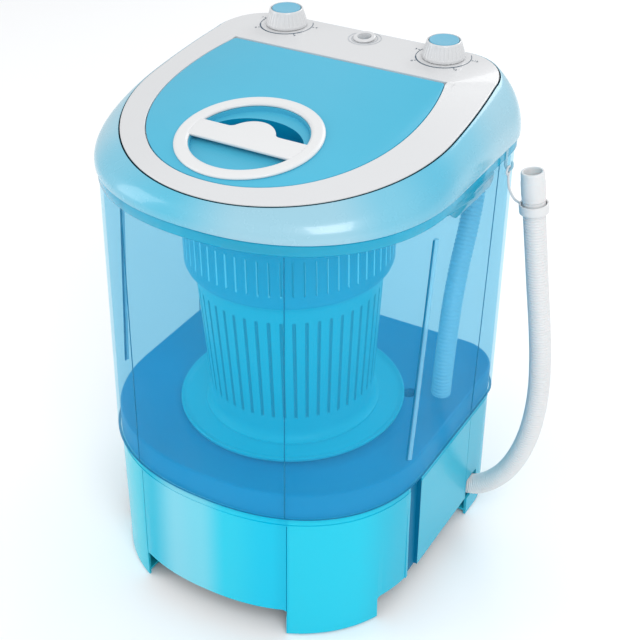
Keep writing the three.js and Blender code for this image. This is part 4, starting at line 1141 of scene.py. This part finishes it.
def make_basket():
    facets = 10
    segments = RIBS * facets
    groove_low, groove_high = BASKET_FOOT + 30, BASKET_FOOT + 156
    groove_depth, inner_wall = 1.7, 89

    def grooved(radii, turns, z):
        inside = (z > groove_low) & (z < groove_high)
        index = np.arange(segments) % facets
        cut = np.where((index == 4) | (index == 5), groove_depth, 0.0)
        return radii - cut * inside * (radii > inner_wall)

    low, high = np.array([90, 198]), np.array([100, 354])

    def wall(z):
        return low[0] + (high[0] - low[0]) * (z - low[1]) / (high[1] - low[1])

    heights = [199.5, groove_low - 0.4, groove_low + 0.4, *np.linspace(groove_low + 8, groove_high - 8, 10),
               groove_high - 0.4, groove_high + 0.4, 350]
    outer = [(28, BASKET_FOOT), (96.2, BASKET_FOOT), (97, BASKET_FOOT + 0.7), (96.8, BASKET_FOOT + 2.6),
             (94, BASKET_FOOT + 4), (91.6, 191.4), (90.3, 195)]
    outer += [(wall(z), z) for z in heights]
    outer += [(100.4, 355), (102, 359.5), (106, 362.6), (109.6, 364.6), (111, 368)]
    outer += [(111, z) for z in (372, 390, 410, BASKET_TOP - 5)]
    outer += [(111.6, BASKET_TOP - 4), (113.6, BASKET_TOP - 4), (114, BASKET_TOP - 3.4),
              (114, BASKET_TOP - 0.7), (113.4, BASKET_TOP), (109, BASKET_TOP), (108.5, BASKET_TOP - 0.5)]
    inner = [(108.5, BAND_BOTTOM + 1), (97.5, 356), (87.2, 198), (86, BASKET_FOOT + 3),
             (30.5, BASKET_FOOT + 3), (27, 205), (25, 217), (23, 220.6), (19, 222), (2, 222), (2, 219.5),
             (19, 219.5), (22.7, 216.5)]
    made = lathe("basket_moulding", outer + inner, segments, (0, AXIS_Y), grooved)
    cutters = []
    for i in range(BAND_SLOTS):
        slot = block("slot", (98, -0.9, BAND_BOTTOM + 12), (120, 0.9, BASKET_TOP - 13))
        slot.data.transform(Matrix.Translation((0, AXIS_Y, 0)) @ Matrix.Rotation(
            2 * math.pi * (i + 0.5) / BAND_SLOTS, 4, "Z"))
        cutters.append(slot)
    combine(made, [join("slots", cutters)], "DIFFERENCE")
    materials = [BASKET_BLUE, BASKET_GROOVE_PAINTED_SHADE, BAND_BLUE, BAND_INSIDE_PAINTED_LIGHT]
    finish(made, materials, "spinner", ["spin_basket"], smooth=35)
    for face in made.data.polygons:
        x, y, z = face.center / MM
        radius = math.hypot(x, y - AXIS_Y)
        # the basket's grooves get painted shade, a deeper blue
        if groove_low < z < groove_high and radius < wall(z) - 0.8 and radius > wall(z) - 2.2:
            face.material_index = 1
        elif z > BAND_BOTTOM - 3:
            # the band's inward faces get painted light, a paler blue
            outward = face.normal.x * x + face.normal.y * (y - AXIS_Y)
            face.material_index = 3 if outward < 0 and z < BASKET_TOP - 4 else 2


make_basket()


def make_wash_plate():
    low = span("pulsator")[0].z
    made = lathe("wash_plate", [
        (8.3, low), (118, low), (121.5, low + 0.8), (124.4, low + 3.4), (125, low + 5), (125, low + 6.6),
        (124.5, low + 7.4), (123.4, low + 7.5), (122.6, low + 7.0), (121.4, low + 5.6), (118.4, low + 4.0),
        (115.5, low + 3.7), (27, low + 3.7), (26, low + 6), (22, 208), (20.6, 211), (18, 212), (8, 212),
        (8, 206), (3.2, 206), (3.2, 198.3), (8.3, 198.3),
    ], 160, (0, AXIS_Y))
    finish(made, BASKET_BLUE, "spinner", ["pulsator"], smooth=30)


make_wash_plate()

# ---------- drain hose ----------

HOSE_RADIUS = 12.0
HOSE_ROUTE = [
    (164, 104, 43), (174, 104, 43), (187, 104, 47), (204, 104.5, 60), (220, 105.5, 80), (233, 106.5, 107),
    (242, 107.5, 138), (247, 108.5, 172), (248.5, 109, 208), (246.5, 109, 248), (242, 109, 290),
    (236, 109, 334), (230.5, 109, 376), (225.5, 109, 414), (223, 109, 434),
]
RIB_PITCH = 3.2
RINGS_PER_RIB = 6
STRAP_EYE = (191.7, 113, 457.8)
EYE_RADIUS = 4.2
EYE_THICK = 1.2


def length_of(path):
    return float(np.linalg.norm(np.diff(path, axis=0), axis=1).sum())


def ribbed(path, radius, depth, plain):
    """Radii of a corrugated hose, smooth for a short plain length at each end."""
    far = np.concatenate([[0], np.cumsum(np.linalg.norm(np.diff(path, axis=0), axis=1))])
    wave = 0.5 + 0.5 * np.cos(2 * math.pi * far / RIB_PITCH)
    near_end = np.minimum(far, far[-1] - far)
    share = np.clip((near_end - plain) / 2, 0, 1)
    return radius - depth * share * (1 - wave ** 0.7)


def make_hose():
    rough = along(HOSE_ROUTE, 400)
    count = int(length_of(rough) / RIB_PITCH * RINGS_PER_RIB)
    path = along(HOSE_ROUTE, count)
    hose = tube("ribbed_hose", path, ribbed(path, HOSE_RADIUS - 0.1, 0.8, 5), 32)
    finish(hose, HOSE_WHITE, "housing", ["drain_hose"], smooth=60)

    end = Vector(HOSE_ROUTE[-1])
    lean = (end - Vector(HOSE_ROUTE[-2])).normalized()
    stand = Matrix.Translation(end) @ Vector((0, 0, 1)).rotation_difference(lean).to_matrix().to_4x4()
    cuff = lathe("hose_cuff_moulding", rounded([
        (9.5, GAP), (12.3, GAP), (12.3, 4), (12.6, 6), (12.6, 21), (12.2, 22.5), (12.2, 30), (11.8, 32),
        (9.5, 32),
    ], 0.7, 3), 64)
    cuff.data.transform(stand)
    finish(cuff, HOSE_WHITE, "housing", ["hose_cuff"], smooth=45)

    band = lathe("hose_strap_moulding", rounded([
        (13.2, -5), (15.4, -5), (15.4, 5), (13.2, 5)], 0.8, 4), 64)
    band_z = end.z - 8
    band.data.transform(Matrix.Translation((end.x + 1, end.y, band_z)) @ stand.to_3x3().to_4x4())
    eye_x, eye_y, eye_z = STRAP_EYE
    tail_path = along([
        (end.x - 13, end.y, band_z), (201, 111, 429), (194, 112.5, 439), (eye_x, eye_y, eye_z - 4),
    ], 40)
    tail = tube("tail", tail_path, np.full(40, 1.3), 16)
    eye_turns = np.linspace(0, 2 * math.pi, 48, endpoint=False)
    eye = []
    for t in np.linspace(0, 2 * math.pi, 16, endpoint=False):
        reach = EYE_RADIUS + EYE_THICK * math.cos(t)
        eye.append(np.column_stack([
            np.full(48, eye_x + EYE_THICK * math.sin(t)),
            eye_y + reach * np.cos(eye_turns),
            eye_z + reach * np.sin(eye_turns),
        ]))
    eye_loop = loft("eye", eye)
    combine(band, [tail, eye_loop], "UNION")
    finish(band, GRIP_WHITE, "housing", ["hose_strap"], smooth=45)


make_hose()


def make_hook():
    route = [
        (188.4, COLLAR_BOTTOM - GAP), (188.4, 472), (188.5, 462), (STRAP_EYE[0], 458.4), (195, 462),
        (195.1, 469),
    ]
    path = along([(x, STRAP_EYE[1], z) for x, z in route], 60)
    radii = np.full(60, 1.5)
    radii[-3:] = (1.4, 1.1, 0.5)
    made = tube("hose_hook_moulding", path, radii, 20)
    finish(made, COLLAR_SHEEN_AND_SHADE, "housing", ["hose_hook"], smooth=60)


make_hook()


def make_overflow():
    route = [
        (150, 128, 440), (152, 124, 415), (154, 108, 385), (156, 86, 350), (157, 70, 310), (157, 62, 270),
        (156, 58, 230), (155, 57, 200),
    ]
    pitch = 4.5
    count = int(length_of(along(route, 200)) / pitch * RINGS_PER_RIB)
    path = along(route, count)
    far = np.linspace(0, length_of(path), count)
    radii = 11 - 0.9 * (0.5 - 0.5 * np.cos(2 * math.pi * far / pitch))
    made = tube("overflow_ribbed_hose", path, radii, 28, bore=8)
    finish(made, HOSE_TINTED, "housing", ["overflow_hose"], smooth=60)


make_overflow()

# ---------- feet and gland ----------


def make_feet():
    for place in ("front_left", "front_right", "rear_right", "rear_left"):
        low, high = span(f"foot_{place}")
        centre = (low + high) / 2
        profile = [
            (0, 0), (6.5, 0), (6.5, 0.5), (7.5, 0.5), (7.5, 0), (10, 0), (10.8, 0.4), (11, 1.2),
            (11, high.z), (0, high.z),
        ]
        made = lathe(f"foot_pad_{place}", profile, 64, centre)
        finish(made, RUBBER, "housing", [f"foot_{place}"], smooth=35)


make_feet()


def make_gland():
    made = lathe("gland_moulding", rounded([
        (4, -12), (8, -12), (8, 3.5), (12, 3.5), (12, 8), (10, 8.8), (7, 14), (4, 14),
    ], 0.5, 2), 48)
    made.data.transform(Matrix.Translation((GLAND_X, 171, GLAND_Z)) @ Matrix.Rotation(-math.pi / 2, 4, "X"))
    finish(made, DARK, "housing", ["cable_gland"], smooth=35)


make_gland()

# ---------- CAD nodes that stay, with their own materials ----------

KEPT = {
    "white_plastic": WHITE, "floor_blue": FLOOR_BLUE, "dark_plastic": DARK, "rubber": RUBBER,
    "steel": STEEL, "cast_metal": CAST, "copper": COPPER,
}


def paint_kept_nodes():
    slots = {entry["node"]: entry["material_slot"] for entry in frame["record"]["subparts"]}
    for name, node in frame["nodes"].items():
        if node.hide_render:
            continue
        node.data.materials.clear()
        node.data.materials.append(KEPT[slots[name]])


paint_kept_nodes()

# ---------- floor and light ----------


def pale_floor():
    made, tree, shader, _ = blank("pale_floor")
    vary_colour(tree, shader.inputs["Base Color"], (0.955, 0.96, 0.965), 0.004, 2.0)
    shader.inputs["Roughness"].default_value = 0.6
    reach = 6.0
    mesh = bpy.data.meshes.new("floor")
    corners = [(-reach, -reach, 0), (reach, -reach, 0), (reach, reach, 0), (-reach, reach, 0)]
    mesh.from_pydata(corners, [], [(0, 1, 2, 3)])
    mesh.materials.append(made)
    into_scene("floor", mesh)


def softbox(name, place, size, power, target=(0, 0, 0.3)):
    data = bpy.data.lights.new(name, "AREA")
    data.shape = "RECTANGLE"
    data.size, data.size_y = size
    data.energy = power
    lamp = into_scene(name, data)
    lamp.location = place
    lamp.rotation_mode = "QUATERNION"
    lamp.rotation_quaternion = (Vector(target) - Vector(place)).to_track_quat("-Z", "Y")


def light_studio():
    world = bpy.data.worlds.new("studio")
    bpy.context.scene.world = world
    world.use_nodes = True
    world.node_tree.nodes["Background"].inputs["Color"].default_value = (0.98, 0.99, 1.0, 1)
    world.node_tree.nodes["Background"].inputs["Strength"].default_value = 0.84
    softbox("key", (1.3, -1.3, 1.9), (1.0, 1.4), 22)
    softbox("fill", (-1.8, -1.0, 1.0), (0.8, 1.6), 9)
    softbox("back", (0.4, 1.9, 1.6), (1.6, 0.8), 12)
    bpy.context.scene.view_settings.view_transform = "Standard"


pale_floor()
light_studio()
